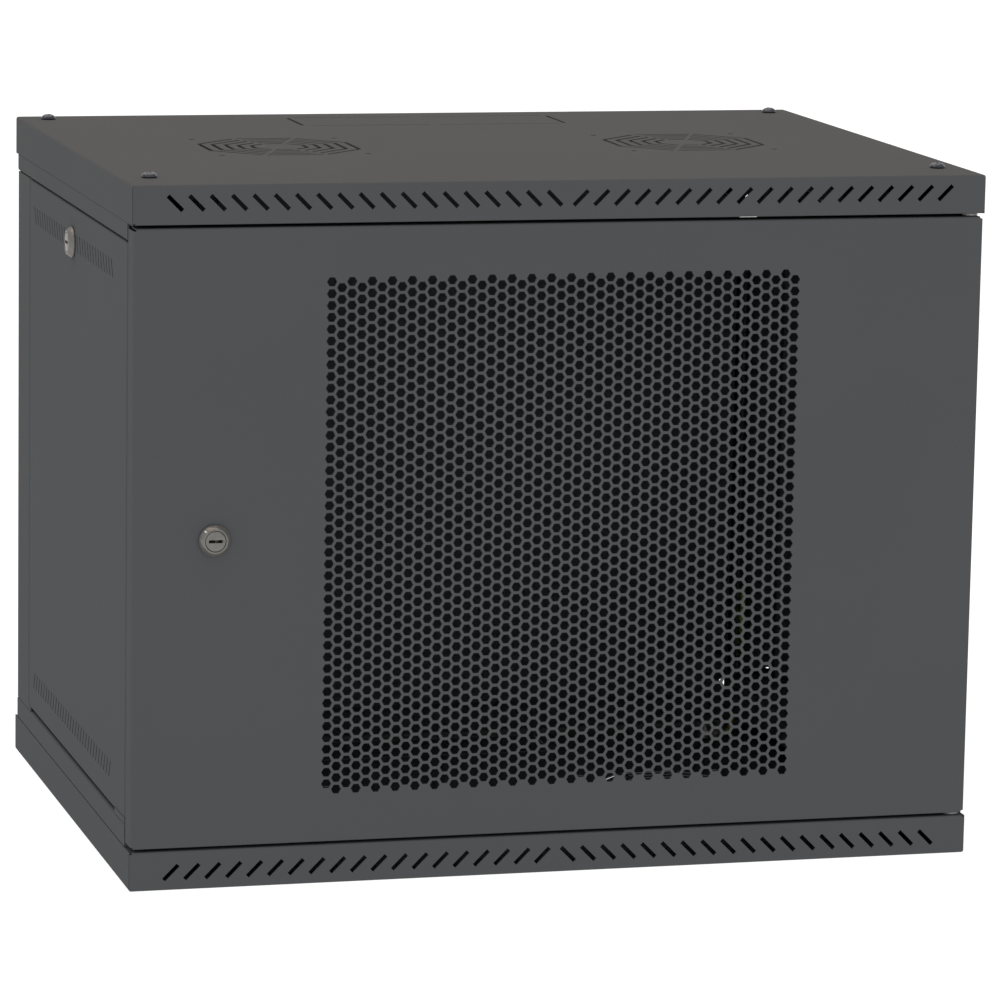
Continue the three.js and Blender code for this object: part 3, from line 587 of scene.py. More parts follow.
def without_repeats(loop):
    kept = []
    for point in loop:
        if not kept or (Vector(point) - Vector(kept[-1])).length > 1e-4:
            kept.append(point)
    if (Vector(kept[0]) - Vector(kept[-1])).length < 1e-4:
        kept.pop()
    return kept


# ---------- Hole shapes, as loops in a flat pattern ----------


def round_hole(u, v, radius, sides=20):
    turns = [2 * math.pi * k / sides for k in range(sides)]
    return [(u + radius * math.cos(t), v + radius * math.sin(t)) for t in turns]


def slot_hole(u, v, width, length, angle):
    """A square-ended slot whose long side is turned by an angle from v."""
    along = Vector((math.sin(angle), math.cos(angle)))
    across = Vector((math.cos(angle), -math.sin(angle)))
    corners = ((-1, -1), (1, -1), (1, 1), (-1, 1))
    return [tuple(Vector((u, v)) + across * (i * width / 2) + along * (j * length / 2)) for i, j in corners]


def rectangle(u0, u1, v0, v1):
    return [(u0, v0), (u1, v0), (u1, v1), (u0, v1)]


def octagon_point(apothem, angle):
    """The point of an octagon with flat sides at 0, 45, 90... degrees, seen at an angle."""
    off = (angle + math.pi / 8) % (math.pi / 4) - math.pi / 8
    reach = apothem / math.cos(off)
    return Vector((reach * math.cos(angle), reach * math.sin(angle)))


def grille_holes(cx, cy):
    """Octagonal rings of slots held by four spokes, and the four screw holes of a fan."""
    spokes = [math.radians(a) for a in (67.5, 112.5, 247.5, 292.5)]
    holes = []
    for ring in range(GRILLE["rings"]):
        middle = GRILLE["inner"] + ring * GRILLE["step"]
        for k, start in enumerate(spokes):
            end = spokes[(k + 1) % 4] + (2 * math.pi if k == 3 else 0)
            loop = []
            for apothem, order in ((middle + GRILLE["slot"] / 2, 1), (middle - GRILLE["slot"] / 2, -1)):
                reach = apothem / math.cos(math.pi / 8)
                tuck = math.asin(GRILLE["spoke"] / reach)
                angles = [start + tuck, end - tuck]
                corners = [math.radians(22.5) + math.radians(45) * i for i in range(20)]
                inner = [corner for corner in corners if start + 0.1 < corner < end - 0.1]
                path = [angles[0], *inner, angles[1]]
                loop += [octagon_point(apothem, a) for a in path[::order]]
            holes.append([(cx + p.x, cy + p.y) for p in loop])
    for sx in (-1, 1):
        for sy in (-1, 1):
            screw = (cx + sx * GRILLE["fan"], cy + sy * GRILLE["fan"])
            holes.append(round_hole(*screw, GRILLE["screw"], 12))
    return holes


def knockout_holes(end):
    """The cut line round the cable knock-out, with bridges at its corners and its middle."""
    x, (y0, y1) = KNOCKOUT["x"], KNOCKOUT["y"]
    side, bridge, corner = (KNOCKOUT[k] for k in ("side", "bridge", "corner"))
    holes = []
    for sign in (-1, 1):
        outer = sorted((sign * x, sign * (x + end)))
        holes.append(rectangle(*outer, y0 + corner, y1 - corner))
        run = sorted((sign * bridge, sign * (x - corner)))
        holes.append(rectangle(*run, y0, y0 + side))
        holes.append(rectangle(*run, y1 - side, y1))
    return holes


# ---------- Covers ----------


def corner_cap(centre, signs, radii, thickness):
    """An eighth of a ball that closes a pan's corner, between walls with different bend radii."""
    verts, outward = [], []
    steps = BEND_STEPS
    for inset in (0.02, thickness):
        for i in range(steps + 1):
            down = i / steps * math.pi / 2
            for j in range(steps + 1):
                turn = j / steps * math.pi / 2
                normal = Vector((
                    signs[0] * math.sin(down) * math.cos(turn),
                    signs[1] * math.sin(down) * math.sin(turn),
                    -math.cos(down),
                ))
                outward.append(normal)
                radius_z = radii[0] + (radii[1] - radii[0]) * j / steps
                reach = Vector((*radii, radius_z)) - Vector((inset, inset, inset))
                verts.append(Vector((*centre, radius_z)) + Vector(n * r for n, r in zip(normal, reach)))
    row = steps + 1
    layer = row * row
    faces, normals = [], []

    def add(corners, sign):
        """Adds a quad, its corners in the order that faces along sign times the ball's normal."""
        a, b, c = (verts[i] for i in corners[:3])
        if (b - a).cross(c - a).dot(outward[corners[0]] * sign) < 0:
            corners = corners[::-1]
        faces.append(corners)
        normals.append([outward[i] * sign for i in corners])

    for i in range(steps):
        for j in range(steps):
            a = i * row + j
            quad = (a, a + 1, a + row + 1, a + row) if i else (a, a + row + 1, a + row)
            add(quad, 1)
            add(tuple(k + layer for k in quad), -1)
    edges = [(i * row + j, (i + 1) * row + j) for j in (0, steps) for i in range(steps)]
    edges += [(steps * row + j, steps * row + j + 1) for j in range(steps)]
    for a, b in edges:
        faces.append((a, b, b + layer, a + layer))
        normals.append(None)
    return verts, faces, normals


def cover(node, origin_z, depth_sign, knockout_end):
    """A pan with slots along its front wall, two fan grilles and a cable knock-out."""
    low, high = box_mm(node)
    deep = high.z - low.z
    fold_u = Fold(low.x, high.x, [(deep, 1)], [(deep, 1)])
    front, rear = ([(deep, 1), (lip, 1)] for lip in COVER_LIPS)
    fold_v = Fold(low.y, high.y, front, rear, radius=TIGHT_BEND)
    holes = knockout_holes(knockout_end)
    slot_v = fold_v.leg_at(-1, 0, COVER_SLOT["down"])
    pin_v = fold_v.leg_at(-1, 1, box_mm("hinge_pin_bottom")[0].y + COLLAR_RADIUS - low.y)
    for sign in (-1, 1):
        holes += grille_holes(sign * GRILLE["x"], GRILLE["y"])
        for k in range(COVER_SLOT["per_side"]):
            u = sign * (COVER_SLOT["first"] + k * COVER_SLOT["pitch"])
            holes.append(slot_hole(u, slot_v, *COVER_SLOT["size"], sign * math.pi / 4))
        holes.append(round_hole(sign * HINGE_X, pin_v, PIN_HOLE))
        for end in ("front", "rear"):
            screw_y = centre_mm(f"top_cover_screw_{end}_right").y
            holes.append(round_hole(sign * COVER_SCREW_X, screw_y, SCREW_HOLE))
    outline = pan_outline(fold_u, fold_v, gap=0.2)
    parts = [fold_pattern(outline, holes, fold_u, fold_v, SHEET, mitre=True)]
    for sx in (-1, 1):
        for sy in (-1, 1):
            centre = (sx * (high.x - BEND), sy * (high.y - TIGHT_BEND))
            parts.append(corner_cap(centre, (sx, sy), (BEND, TIGHT_BEND), SHEET))
    axes = ((0, 0, origin_z), (1, 0, 0), (0, 1, 0), (0, 0, depth_sign))
    piece = sheet_object(node + "_sheet", [set_in(part, *axes) for part in parts], PAINT)
    return place(piece, "cabinet", "paint", node)


def build_covers():
    cover("top_cover", box_mm("top_cover")[1].z, -1, KNOCKOUT["ends"][0])
    cover("bottom_cover", box_mm("bottom_cover")[0].z, 1, KNOCKOUT["ends"][1])


# ---------- Door ----------


def hexagon(u, v, across):
    """A hexagon with points to left and right."""
    reach = across / math.sqrt(3)
    turns = [math.pi / 3 * k for k in range(6)]
    return [(u + reach * math.cos(t), v + reach * math.sin(t)) for t in turns]


def door_holes():
    """The perforated field: columns of hexagons, every other one half a step lower."""
    holes = []
    half = (DOOR_HEX["columns"] - 1) / 2
    for column in range(DOOR_HEX["columns"]):
        u = (column - half) * DOOR_HEX["column"]
        top = DOOR_HEX["top"] - (column % 2) * DOOR_HEX["row"] / 2
        for row in range(DOOR_HEX["rows"]):
            holes.append(hexagon(u, top - row * DOOR_HEX["row"], DOOR_HEX["across"]))
    return holes


def build_door_sheet():
    low, high = box_mm("door_sheet")
    lock = centre_mm("door_lock_housing")
    deep = high.y - low.y
    fold_u = Fold(low.x, high.x, [(deep, 1)], [(deep, 1)])
    fold_v = Fold(low.z, high.z, [(deep, 1)], [(deep, 1)], radius=1.5)
    holes = door_holes()
    holes.append(round_hole(lock.x, lock.z, LOCK_HOLE, 40))
    for sign in (-1, 1):
        v = fold_v.leg_at(sign, 0, box_mm("hinge_pin_top")[0].y + COLLAR_RADIUS - low.y)
        holes.append(round_hole(HINGE_X, v, PIN_HOLE))
    outline = pan_outline(fold_u, fold_v, gap=0, mitre=False, relief=0.15)
    body = fold_pattern(outline, holes, fold_u, fold_v)
    shell = set_in(body, (0, low.y, 0), (1, 0, 0), (0, 0, 1), (0, 1, 0))
    piece = sheet_object("door_sheet_perforated", [shell], PAINT)
    place(piece, "door", "paint", "door_sheet")


def channel(node, body, slot, material, fold, span, holes, place_args, thickness=SHEET, extra=()):
    """A piece folded along one direction only, and drawn straight along the other."""
    low_end, high_end = fold.ends()
    outline = rectangle(low_end, high_end, *span)
    folded = set_in(fold_pattern(outline, holes, fold, None, thickness), *place_args)
    piece = sheet_object(node + "_folded", [folded, *extra], material)
    return place(piece, body, slot, node)


def build_stiffeners():
    for side, _ in SIDES:
        node = f"door_stiffener_{side}"
        low, high = box_mm(node)
        middle = (low.x + high.x) / 2
        crown = STIFFENER_CROWN + SHEET
        legs = [(high.y - low.y, 1), (high.x - middle - crown + SHEET, -1)]
        fold = Fold(-crown, crown, legs, legs)
        args = ((middle, high.y, 0), (1, 0, 0), (0, 0, 1), (0, -1, 0))
        channel(node, "door", "paint", PAINT, fold, (low.z, high.z), [], args)


# ---------- Side panels ----------


def vent_holes():
    holes = []
    middle = (VENT["count"] - 1) / 2
    for z, lean, split in VENT_ROWS:
        for k in range(VENT["count"]):
            if split and k in VENT_GAP:
                continue
            y = VENT["y"] + (k - middle) * VENT["pitch"]
            angle = lean * math.atan(VENT["lean"])
            holes.append(slot_hole(y, z, VENT["width"], VENT["length"], angle))
    return holes


def build_side_panels():
    for side, sign in SIDES:
        node = f"side_panel_{side}"
        low, high = box_mm(node)
        lock = centre_mm(f"side_lock_{side}_housing")
        foot = PANEL_FOOT["top"]
        deep = high.x - low.x
        fold_u = Fold(low.y, high.y, [(deep, 1)], [(deep, 1)], radius=1.5)
        fold_v = Fold(foot, high.z, [(deep, 1)], [(deep, 1)], radius=1.5)
        holes = vent_holes() + [round_hole(lock.y, lock.z, LOCK_HOLE, 40)]
        outline = pan_outline(fold_u, fold_v, gap=0.2)
        parts = [fold_pattern(outline, holes, fold_u, fold_v, SHEET, mitre=True)]
        for span in ((low.y, low.y + PANEL_FOOT["front"]), (high.y - PANEL_FOOT["rear"], high.y)):
            parts.append(flat_shaded(flat_bar(span, (low.z, foot + 2), (0.0, SHEET))))
        axes = side_axes(outer_x(node, sign), sign)
        piece = sheet_object(node + "_sheet", [set_in(part, *axes) for part in parts], PAINT)
        place(piece, node, "paint", node)


def side_axes(x, sign):
    """Sets a pattern in (y, z) with its depth running inwards from a side at x."""
    return (x, 0, 0), (0, 1, 0), (0, 0, 1), (-sign, 0, 0)


def flat_bar(u, v, w, round_edge=0.25):
    """A flat bar with its four long corners along w slightly rounded."""
    steps = 3
    loop = []
    for cu, cv, start in ((u[1], v[1], 0), (u[0], v[1], 1), (u[0], v[0], 2), (u[1], v[0], 3)):
        du = -round_edge if cu == u[1] else round_edge
        dv = -round_edge if cv == v[1] else round_edge
        for k in range(steps + 1):
            turn = (start + k / steps) * math.pi / 2
            loop.append((cu + du + round_edge * math.cos(turn), cv + dv + round_edge * math.sin(turn)))
    count = len(loop)
    verts = [(p[0], p[1], w[0]) for p in loop] + [(p[0], p[1], w[1]) for p in loop]
    faces = [tuple(range(count)), tuple(reversed(range(count, 2 * count)))]
    faces += [(k, (k + 1) % count, (k + 1) % count + count, k + count) for k in range(count)]
    return verts, faces


# ---------- Side frames and rear panel ----------


def build_rails():
    """Each rail is two folded sheets, welded where the web steps in to nest inside the cover."""
    for side, sign in SIDES:
        for level, up in (("top", 1), ("bottom", -1)):
            rail(f"side_frame_{side}_{level}_rail", side, sign, level, up)


def rail(node, side, sign, level, up):
    low, high = box_mm(node)
    outer = outer_x(node, sign)
    width = high.x - low.x
    open_z, cover_z = (low.z, high.z) if up > 0 else (high.z, low.z)
    edge_z = RAIL_STEP[level]
    bolt = abs(centre_mm(f"rack_rail_{side}_bolt_{'high' if up > 0 else 'low'}").z - open_z)
    shown = Fold(0, abs(edge_z - open_z), [(width, 1), (RAIL_STEP["flange"], 1)], [], FRAME_SHEET, 2.0)
    slot = sorted(shown.leg_at(-1, 1, bolt + reach) for reach in (-RAIL_SLOT["half"], RAIL_SLOT["half"]))
    holes = [rectangle(*slot, *RAIL_SLOT["y"])]
    step_z = edge_z - up * RAIL_STEP["overlap"]
    inset = abs(outer) - RAIL_STEP["nested"]
    nested = Fold(0, abs(cover_z - step_z), [], [(width - inset, 1)], FRAME_SHEET, 2.0)

    def on_shown(x):
        return shown.leg_at(-1, 0, abs(outer) - x)

    def on_nested(x):
        return nested.leg_at(1, 0, RAIL_STEP["nested"] - x)

    cover_holes = []
    for end in ("front", "rear"):
        v = centre_mm(f"top_cover_screw_{end}_{side}").y
        cover_holes.append(round_hole(on_nested(COVER_SCREW_X), v, SCREW_HOLE))
        if level == "bottom":
            holes.append(round_hole(on_shown(COVER_SCREW_X), v, SCREW_ACCESS))
    if level == "bottom":
        holes.append(round_hole(on_shown(WIRE_HOLE[0]), *WIRE_HOLE[1:], 24))
    inner = shown.leg_at(-1, 0, width - 2.2)
    relief = [on_shown(x) for x in RAIL_END["relief"]]
    deep = high.y - RAIL_END["relief_depth"]
    corner_x, corner_y = RAIL_END["corner"]
    clear, far = on_shown(corner_x), on_nested(corner_x)
    lip, web = shown.ends()
    nested_end = nested.ends()[1]
    outline = [
        (lip, low.y), (web, low.y), (web, high.y), (relief[1], high.y), (relief[1], deep),
        (relief[0], deep), (relief[0], high.y), (clear, high.y), (clear, corner_y), (inner, corner_y),
        (inner, RAIL_END["lip"]), (lip, RAIL_END["lip"]),
    ]
    cover_outline = [
        (0, low.y), (nested_end, low.y), (nested_end, corner_y), (far, corner_y), (far, high.y),
        (0, high.y),
    ]
    parts = []
    for fold, shape, cuts, x, z in (
        (shown, outline, holes, outer, open_z),
        (nested, cover_outline, cover_holes, outer - sign * inset, step_z),
    ):
        axes = ((x, 0, z), (0, 0, up), (0, 1, 0), (-sign, 0, 0))
        parts.append(set_in(fold_pattern(shape, cuts, fold, None, FRAME_SHEET), *axes))
    tab_x = sorted((sign * RAIL_END["tab"], sign * (RAIL_STEP["nested"] - 0.1)))
    tab_z = sorted((cover_z - up * 2.5, open_z + up * 2.5))
    parts.append(flat_shaded(flat_bar(tab_x, (high.y - FRAME_SHEET, high.y), tab_z, 0.2)))
    place(sheet_object(node + "_folded", parts, PAINT), "cabinet", "paint", node)


def keyhole(u, z):
    """A round hole with a slot rising from it; u runs along the flange."""
    big, small = KEYHOLE["round"], KEYHOLE["slot"]
    start = math.asin(small / big)
    top = z + KEYHOLE["rise"] - small
    below = [math.pi / 2 + start + (2 * math.pi - 2 * start) * k / 24 for k in range(25)]
    above = [math.pi * k / 6 for k in range(7)]
    loop = [(u + big * math.cos(t), z + big * math.sin(t)) for t in below]
    return loop + [(u + small * math.cos(t), top + small * math.sin(t)) for t in above]


def build_posts():
    for side, sign in SIDES:
        node = f"side_frame_{side}_front_post"
        low, high = box_mm(node)
        width = high.x - low.x
        fold = Fold(low.y, high.y, [(width, 1)], [(width, 1)], FRAME_SHEET)
        axes = side_axes(outer_x(node, sign), sign)
        channel(node, "cabinet", "paint", PAINT, fold, (low.z, high.z), [], axes, FRAME_SHEET)

        node = f"side_frame_{side}_rear_post"
        low, high = box_mm(node)
        outer = outer_x(node, sign)
        fold = Fold(low.y, high.y, [(POST_LEG, 1)], [(high.x - low.x, 1)], FRAME_SHEET)
        holes = [keyhole(fold.leg_at(1, 0, abs(outer) - KEYHOLE["x"]), KEYHOLE["z"])]
        screw_u = fold.leg_at(1, 0, abs(outer) - PANEL_SCREW_X)
        for level in ("low", "high"):
            holes.append(round_hole(screw_u, centre_mm(f"rear_panel_screw_{level}_{side}").z, SCREW_HOLE))
        rib_x = sorted(sign * x for x in RIB["x"])
        rib_y = (high.y - RIB["depth"], high.y - FRAME_SHEET)
        spans = ((low.z, RIB["gap"][0]), (RIB["gap"][1], high.z))
        ribs = [flat_shaded(flat_bar(rib_x, rib_y, span)) for span in spans]
        axes = side_axes(outer, sign)
        channel(node, "cabinet", "paint", PAINT, fold, (low.z, high.z), holes, axes, FRAME_SHEET, ribs)


def build_keepers():
    for side, sign in SIDES:
        node = f"side_lock_{side}_keeper"
        low, high = box_mm(node)
        fold = Fold(low.z, high.z, [], [(high.x - low.x, 1)], FRAME_SHEET, 2.0)
        axes = ((outer_x(node, sign), 0, 0), (0, 0, 1), (0, 1, 0), (-sign, 0, 0))
        channel(node, "cabinet", "paint", PAINT, fold, (low.y, high.y), [], axes, FRAME_SHEET)


def build_rear_panel():
    low, high = box_mm("rear_panel")
    fold = Fold(low.x, high.x, [(high.y - low.y, 1)], [(high.y - low.y, 1)])
    holes = []
    for side, sign in SIDES:
        for level in ("low", "high"):
            screw_z = centre_mm(f"rear_panel_screw_{level}_{side}").z
            holes.append(round_hole(sign * PANEL_SCREW_X, screw_z, SCREW_HOLE))
    for sign in (-1, 1):
        for z in PANEL_RELIEF["z"]:
            holes.append(round_hole(sign * PANEL_RELIEF["x"], z, PANEL_RELIEF["radius"], 12))
    hem_low, hem_high = PANEL_HEM
    left, right = fold.ends()
    notch = high.x - 0.01
    outline = [
        (-notch, low.z), (notch, low.z), (notch, hem_low), (right, hem_low), (right, hem_high),
        (notch, hem_high), (notch, high.z), (-notch, high.z), (-notch, hem_high), (left, hem_high),
        (left, hem_low), (-notch, hem_low),
    ]
    shell = set_in(fold_pattern(outline, holes, fold), (0, high.y, 0), (1, 0, 0), (0, 0, 1), (0, -1, 0))
    piece = sheet_object("rear_panel_sheet", [shell], PAINT)
    place(piece, "cabinet", "paint", "rear_panel")


# ---------- Equipment rails ----------


def build_rack_rails():
    cabinet_height = box_mm("top_cover")[1].z
    first = (cabinet_height - RACK_HOLE["units"] * RACK_HOLE["unit"]) / 2
    half = RACK_HOLE["side"] / 2
    for side, sign in SIDES:
        node = f"rack_rail_{side}"
        low, high = box_mm(node)
        inner = sign * min(abs(low.x), abs(high.x))
        outer = sign * max(abs(low.x), abs(high.x))
        fold = Fold(sign * inner, sign * outer, [(12, 1)], [(high.y - low.y, 1)], RAIL_SHEET, 3.0)
        holes = []
        for unit in range(RACK_HOLE["units"]):
            for up in RACK_HOLE["up"]:
                z = first + unit * RACK_HOLE["unit"] + up
                holes.append(rectangle(RACK_HOLE["x"] - half, RACK_HOLE["x"] + half, z - half, z + half))
        for level in ("low", "high"):
            centre = centre_mm(f"{node}_bolt_{level}")
            holes.append(round_hole(fold.leg_at(1, 0, centre.y - low.y), centre.z, PIN_RADIUS + 0.2))
        args = ((0, low.y, 0), (sign, 0, 0), (0, 0, 1), (0, 1, 0))
        channel(node, node, "zinc", BLACK_ZINC, fold, (low.z, high.z), holes, args, RAIL_SHEET)


# ---------- Turned pieces ----------


def lathe(profile, sides=48):
    """(verts, faces) of a closed profile of (radius, height) turned about +Z."""
    verts, faces, rings = [], [], []
    for radius, height in profile:
        if radius < 1e-6:
            rings.append([len(verts)] * sides)
            verts.append((0, 0, height))
            continue
        rings.append(list(range(len(verts), len(verts) + sides)))
        for k in range(sides):
            turn = 2 * math.pi * k / sides
            verts.append((radius * math.cos(turn), radius * math.sin(turn), height))
    for i, ring in enumerate(rings):
        after = rings[(i + 1) % len(rings)]
        for k in range(sides):
            corners = [ring[k], ring[(k + 1) % sides], after[(k + 1) % sides], after[k]]
            face = tuple(dict.fromkeys(corners))
            if len(face) >= 3:
                faces.append(face)
    return verts, faces


def rounded(points, radius, steps=3):
    """A profile with its sharp corners rounded by short arcs."""
    result = []
    count = len(points)
    for i, point in enumerate(points):
        here = Vector(point)
        before, after = Vector(points[i - 1]), Vector(points[(i + 1) % count])
        if here.x < 1e-6:
            result.append(tuple(here))
            continue
        reach = min(radius, (before - here).length / 2.2, (after - here).length / 2.2)
        start = here + (before - here).normalized() * reach
        end = here + (after - here).normalized() * reach
        for k in range(steps + 1):
            t = k / steps
            result.append(tuple(start * (1 - t) ** 2 + here * (2 * t * (1 - t)) + end * t ** 2))
    return result


def cut_out(part, cutters):
    """Takes closed shapes away from a closed shape, and gives the result as (verts, faces)."""
    def scratch(shape):
        mesh = bpy.data.meshes.new("cutting")
        mesh.from_pydata([Vector(v) for v in shape[0]], [], shape[1])
        bm = bmesh.new()
        bm.from_mesh(mesh)
        bmesh.ops.recalc_face_normals(bm, faces=bm.faces)
        bm.to_mesh(mesh)
        bm.free()
        piece = bpy.data.objects.new("cutting", mesh)
        bpy.context.scene.collection.objects.link(piece)
        return piece

    body = scratch(part)
    tools = [scratch(cutter) for cutter in cutters]
    for tool in tools:
        modifier = body.modifiers.new("cut", "BOOLEAN")
        modifier.operation = "DIFFERENCE"
        modifier.solver = "EXACT"
        modifier.object = tool
    bpy.context.view_layer.update()
    result = body.evaluated_get(bpy.context.evaluated_depsgraph_get()).to_mesh()
    verts = [v.co.copy() for v in result.vertices]
    faces = [tuple(p.vertices) for p in result.polygons]
    for piece in (body, *tools):
        mesh = piece.data
        bpy.data.objects.remove(piece)
        bpy.data.meshes.remove(mesh)
    return verts, faces


def block(u, v, w):
    corners = [(x, y, z) for x in u for y in v for z in w]
    faces = [(0, 1, 3, 2), (4, 6, 7, 5), (0, 4, 5, 1), (2, 3, 7, 6), (0, 2, 6, 4), (1, 5, 7, 3)]
    return corners, faces


def cross_screw(head, rise, shank, length):
    """A domed head with a cross recess on a threaded shank; its seat is at zero, its dome at +Z."""
    steps = 9
    dome = [(0.0, rise)]
    for k in range(1, steps + 1):
        turn = math.pi / 2 * k / steps
        dome.append((head * math.sin(turn) ** 0.92, rise * (0.22 + 0.78 * math.cos(turn))))
    dome += [(head, 0.12 * rise), (head - 0.25, 0.0), (shank, 0.0)]
    pitch = 0.8
    thread_from, thread_to = -0.4, -length + 0.6
    height = thread_from
    while height > thread_to:
        dome += [(shank, height), (shank - 0.42, height - pitch / 2)]
        height -= pitch
    dome += [(shank - 0.5, -length), (0.0, -length)]
    recess = []
    for turn in (0.0, math.pi / 2):
        blade = block((-head * 0.52, head * 0.52), (-head * 0.11, head * 0.11), (rise * 0.35, rise + 1))
        recess.append(moved(blade, Matrix.Rotation(turn + 0.4, 3, "Z")))
    return cut_out(lathe(dome, 40), recess)


def to_matrix(origin, axis, spin=0.0):
    """Takes +Z to an axis at an origin."""
    turn = Vector((0, 0, 1)).rotation_difference(Vector(axis)).to_matrix()
    return Matrix.Translation(Vector(origin)) @ (turn @ Matrix.Rotation(spin, 3, "Z")).to_4x4()


def build_screws():
    covers = cross_screw(5.25, 3.9, 2.6, 11)
    lower = cross_screw(5.25, 3.9, 2.6, 3.0)
    rear = cross_screw(4.5, 2.6, 2.4, 11)
    seat = box_mm("top_cover")[1].z + 0.05
    upright = (0, 0, 1)
    for number, (end, (side, _)) in enumerate((e, s) for e in ("front", "rear") for s in SIDES):
        node = f"top_cover_screw_{end}_{side}"
        middle = centre_mm(node)
        screw_in(node, covers, (middle.x, middle.y, seat), upright, number * 0.7)
        node = f"bottom_cover_screw_{end}_{side}"
        screw_in(node, lower, (middle.x, middle.y, box_mm(node)[0].z + 3.0), upright, number * 0.9)
    for number, (level, (side, _)) in enumerate((e, s) for e in ("low", "high") for s in SIDES):
        node = f"rear_panel_screw_{level}_{side}"
        middle = centre_mm(node)
        screw_in(node, rear, (middle.x, PANEL_SCREW_SEAT, middle.z), (0, 1, 0), number * 0.6)


def screw_in(node, screw, seat, axis, spin):
    shape = moved(screw, to_matrix(seat, axis, spin))
    solid(node + "_cross", shape, (BLACK_NICKEL, "dark_screw"), 40, "cabinet", node)


def hexagon_nut(across, low, high, bore):
    """A hexagon nut with chamfered corners."""
    point = across / math.sqrt(3)
    flat = point * 0.93
    crown = six_sided([
        (0, low), (flat, low), (point, low + 0.5), (point, high - 0.5), (flat, high), (0, high),
    ], 0.05)
    return cut_out(crown, [lathe([(0, low - 1), (bore, low - 1), (bore, high + 1), (0, high + 1)], 32)])


def six_sided(profile, round_edge=0.08):
    return lathe(rounded(profile, round_edge, 1), 6)


def build_rack_bolts():
    for side, sign in SIDES:
        for level in ("low", "high"):
            node = f"rack_rail_{side}_bolt_{level}"
            low, high = box_mm(node)
            middle = (low + high) / 2
            inner = sign * min(abs(low.x), abs(high.x))
            head = six_sided([(0, 0), (5.0, 0), (5.75, 0.5), (5.75, 4), (0, 4)])
            shank = lathe(threaded(2.8, 3.9, 20.2), 24)
            nut = six_sided([(0, 8.4), (5.2, 8.4), (5.75, 8.9), (5.75, 12.8), (5.2, 13.4), (0, 13.4)])
            shape = moved(merge([head, shank, nut]), to_matrix((inner, middle.y, middle.z), (sign, 0, 0)))
            solid(node + "_threaded", shape, (BLACK_ZINC, "zinc"), 28, f"rack_rail_{side}", node)


def threaded(radius, start, end, pitch=0.8, depth=0.35):
    profile = [(0.0, start), (radius, start)]
    height = start + pitch
    while height < end - pitch:
        profile += [(radius, height), (radius - depth, height + pitch / 2)]
        height += pitch
    profile += [(radius - depth, end), (0.0, end)]
    return profile


# ---------- Locks ----------


LOCK = {"flange": 11.0, "face": 8.4, "rise": 4.7, "bore": 7.25, "barrel": 9.0, "end": -19.9}
LOCK_NUT = {"across": 22.5, "low": -6.0, "high": -1.5}
PLUG = {"radius": 7.0, "face": 4.5, "end": -22.0, "key_length": 9.6, "key_width": 2.1, "key_depth": 12.0}
DRIVE_END = -24.0
CAM = {"door": 36, "side": 23, "span": (-24.3, -22.3), "screw_seat": -24.6}


def lock_housing_shape():
    profile = rounded([
        (LOCK["bore"], LOCK["end"]), (LOCK["barrel"], LOCK["end"]), (LOCK["barrel"], 0.1),
        (LOCK["flange"], 0.1), (LOCK["flange"], 1.3), (LOCK["face"], LOCK["rise"] - 0.1),
        (LOCK["bore"] + 0.15, LOCK["rise"]), (LOCK["bore"], LOCK["rise"] - 0.3),
    ], 0.45, 4)
    barrel = lathe(profile, 72)
    flat = LOCK["barrel"] - 1.0
    flats = [block((flat * s, (LOCK["barrel"] + 1) * s), (-12, 12), (LOCK["end"] - 1, -2.0)) for s in (1, -1)]
    return cut_out(barrel, flats)


def lock_plug_shape():
    """The key plug: a flat face with a keyway, and a square drive behind."""
    radius, face = PLUG["radius"], PLUG["face"]
    end = PLUG["end"]
    profile = [
        (0.0, end), (radius - 0.6, end), (radius - 0.1, end + 0.5), (radius, face - 0.55),
        (radius - 0.1, face - 0.2), (radius - 0.3, face - 0.04), (radius - 0.6, face), (0.0, face),
    ]
    body = lathe(profile, 72)
    half, width = PLUG["key_length"] / 2, PLUG["key_width"] / 2
    floor = face - PLUG["key_depth"]
    key = block((-half, half), (-width, width), (floor, face + 1))
    shallow = block((half - 0.1, half + 0.9), (-width * 0.4, width), (face - 0.7, face + 1))
    drive = block((-3, 3), (-3, 3), (DRIVE_END, end + 0.5))
    return merge([cut_out(body, [key, shallow]), drive])


def key_wafers():
    """The sprung wafers seen at the bottom of the keyway."""
    face = PLUG["face"]
    wafers = []
    for k, lift in enumerate((0.35, -0.25, 0.15)):
        u = (1.1 + k * 1.05, 1.8 + k * 1.05)
        wafers.append(block(u, (-0.95, lift), (face - 11.5, face - 8.0 - 0.25 * k)))
    return merge(wafers)


def cam_shape(length, span):
    """A stamped cam: a round hub that narrows to an arm with a rounded end."""
    hub, half = 9.0, 7.0
    meet = math.asin(half / hub)
    loop = []
    for k in range(29):
        turn = meet + (2 * math.pi - 2 * meet) * k / 28
        loop.append((hub * math.cos(turn), hub * math.sin(turn)))
    for k in range(15):
        turn = -math.pi / 2 + math.pi * k / 14
        loop.append((length - half + half * math.cos(turn), half * math.sin(turn)))
    low, high = span
    count = len(loop)
    verts = []
    for inset, height in ((0.25, low), (0.0, low + 0.25), (0.0, high - 0.25), (0.25, high)):
        shrink = 1 - inset / hub
        verts += [(x * shrink, y * shrink, height) for x, y in loop]
    faces = [tuple(reversed(range(count))), tuple(range(3 * count, 4 * count))]
    for level in range(3):
        for k in range(count):
            a, b = level * count + k, level * count + (k + 1) % count
            faces.append((a, b, b + count, a + count))
    hole = block((-3.2, 3.2), (-3.2, 3.2), (low - 1, high + 1))
    return cut_out((verts, faces), [hole])


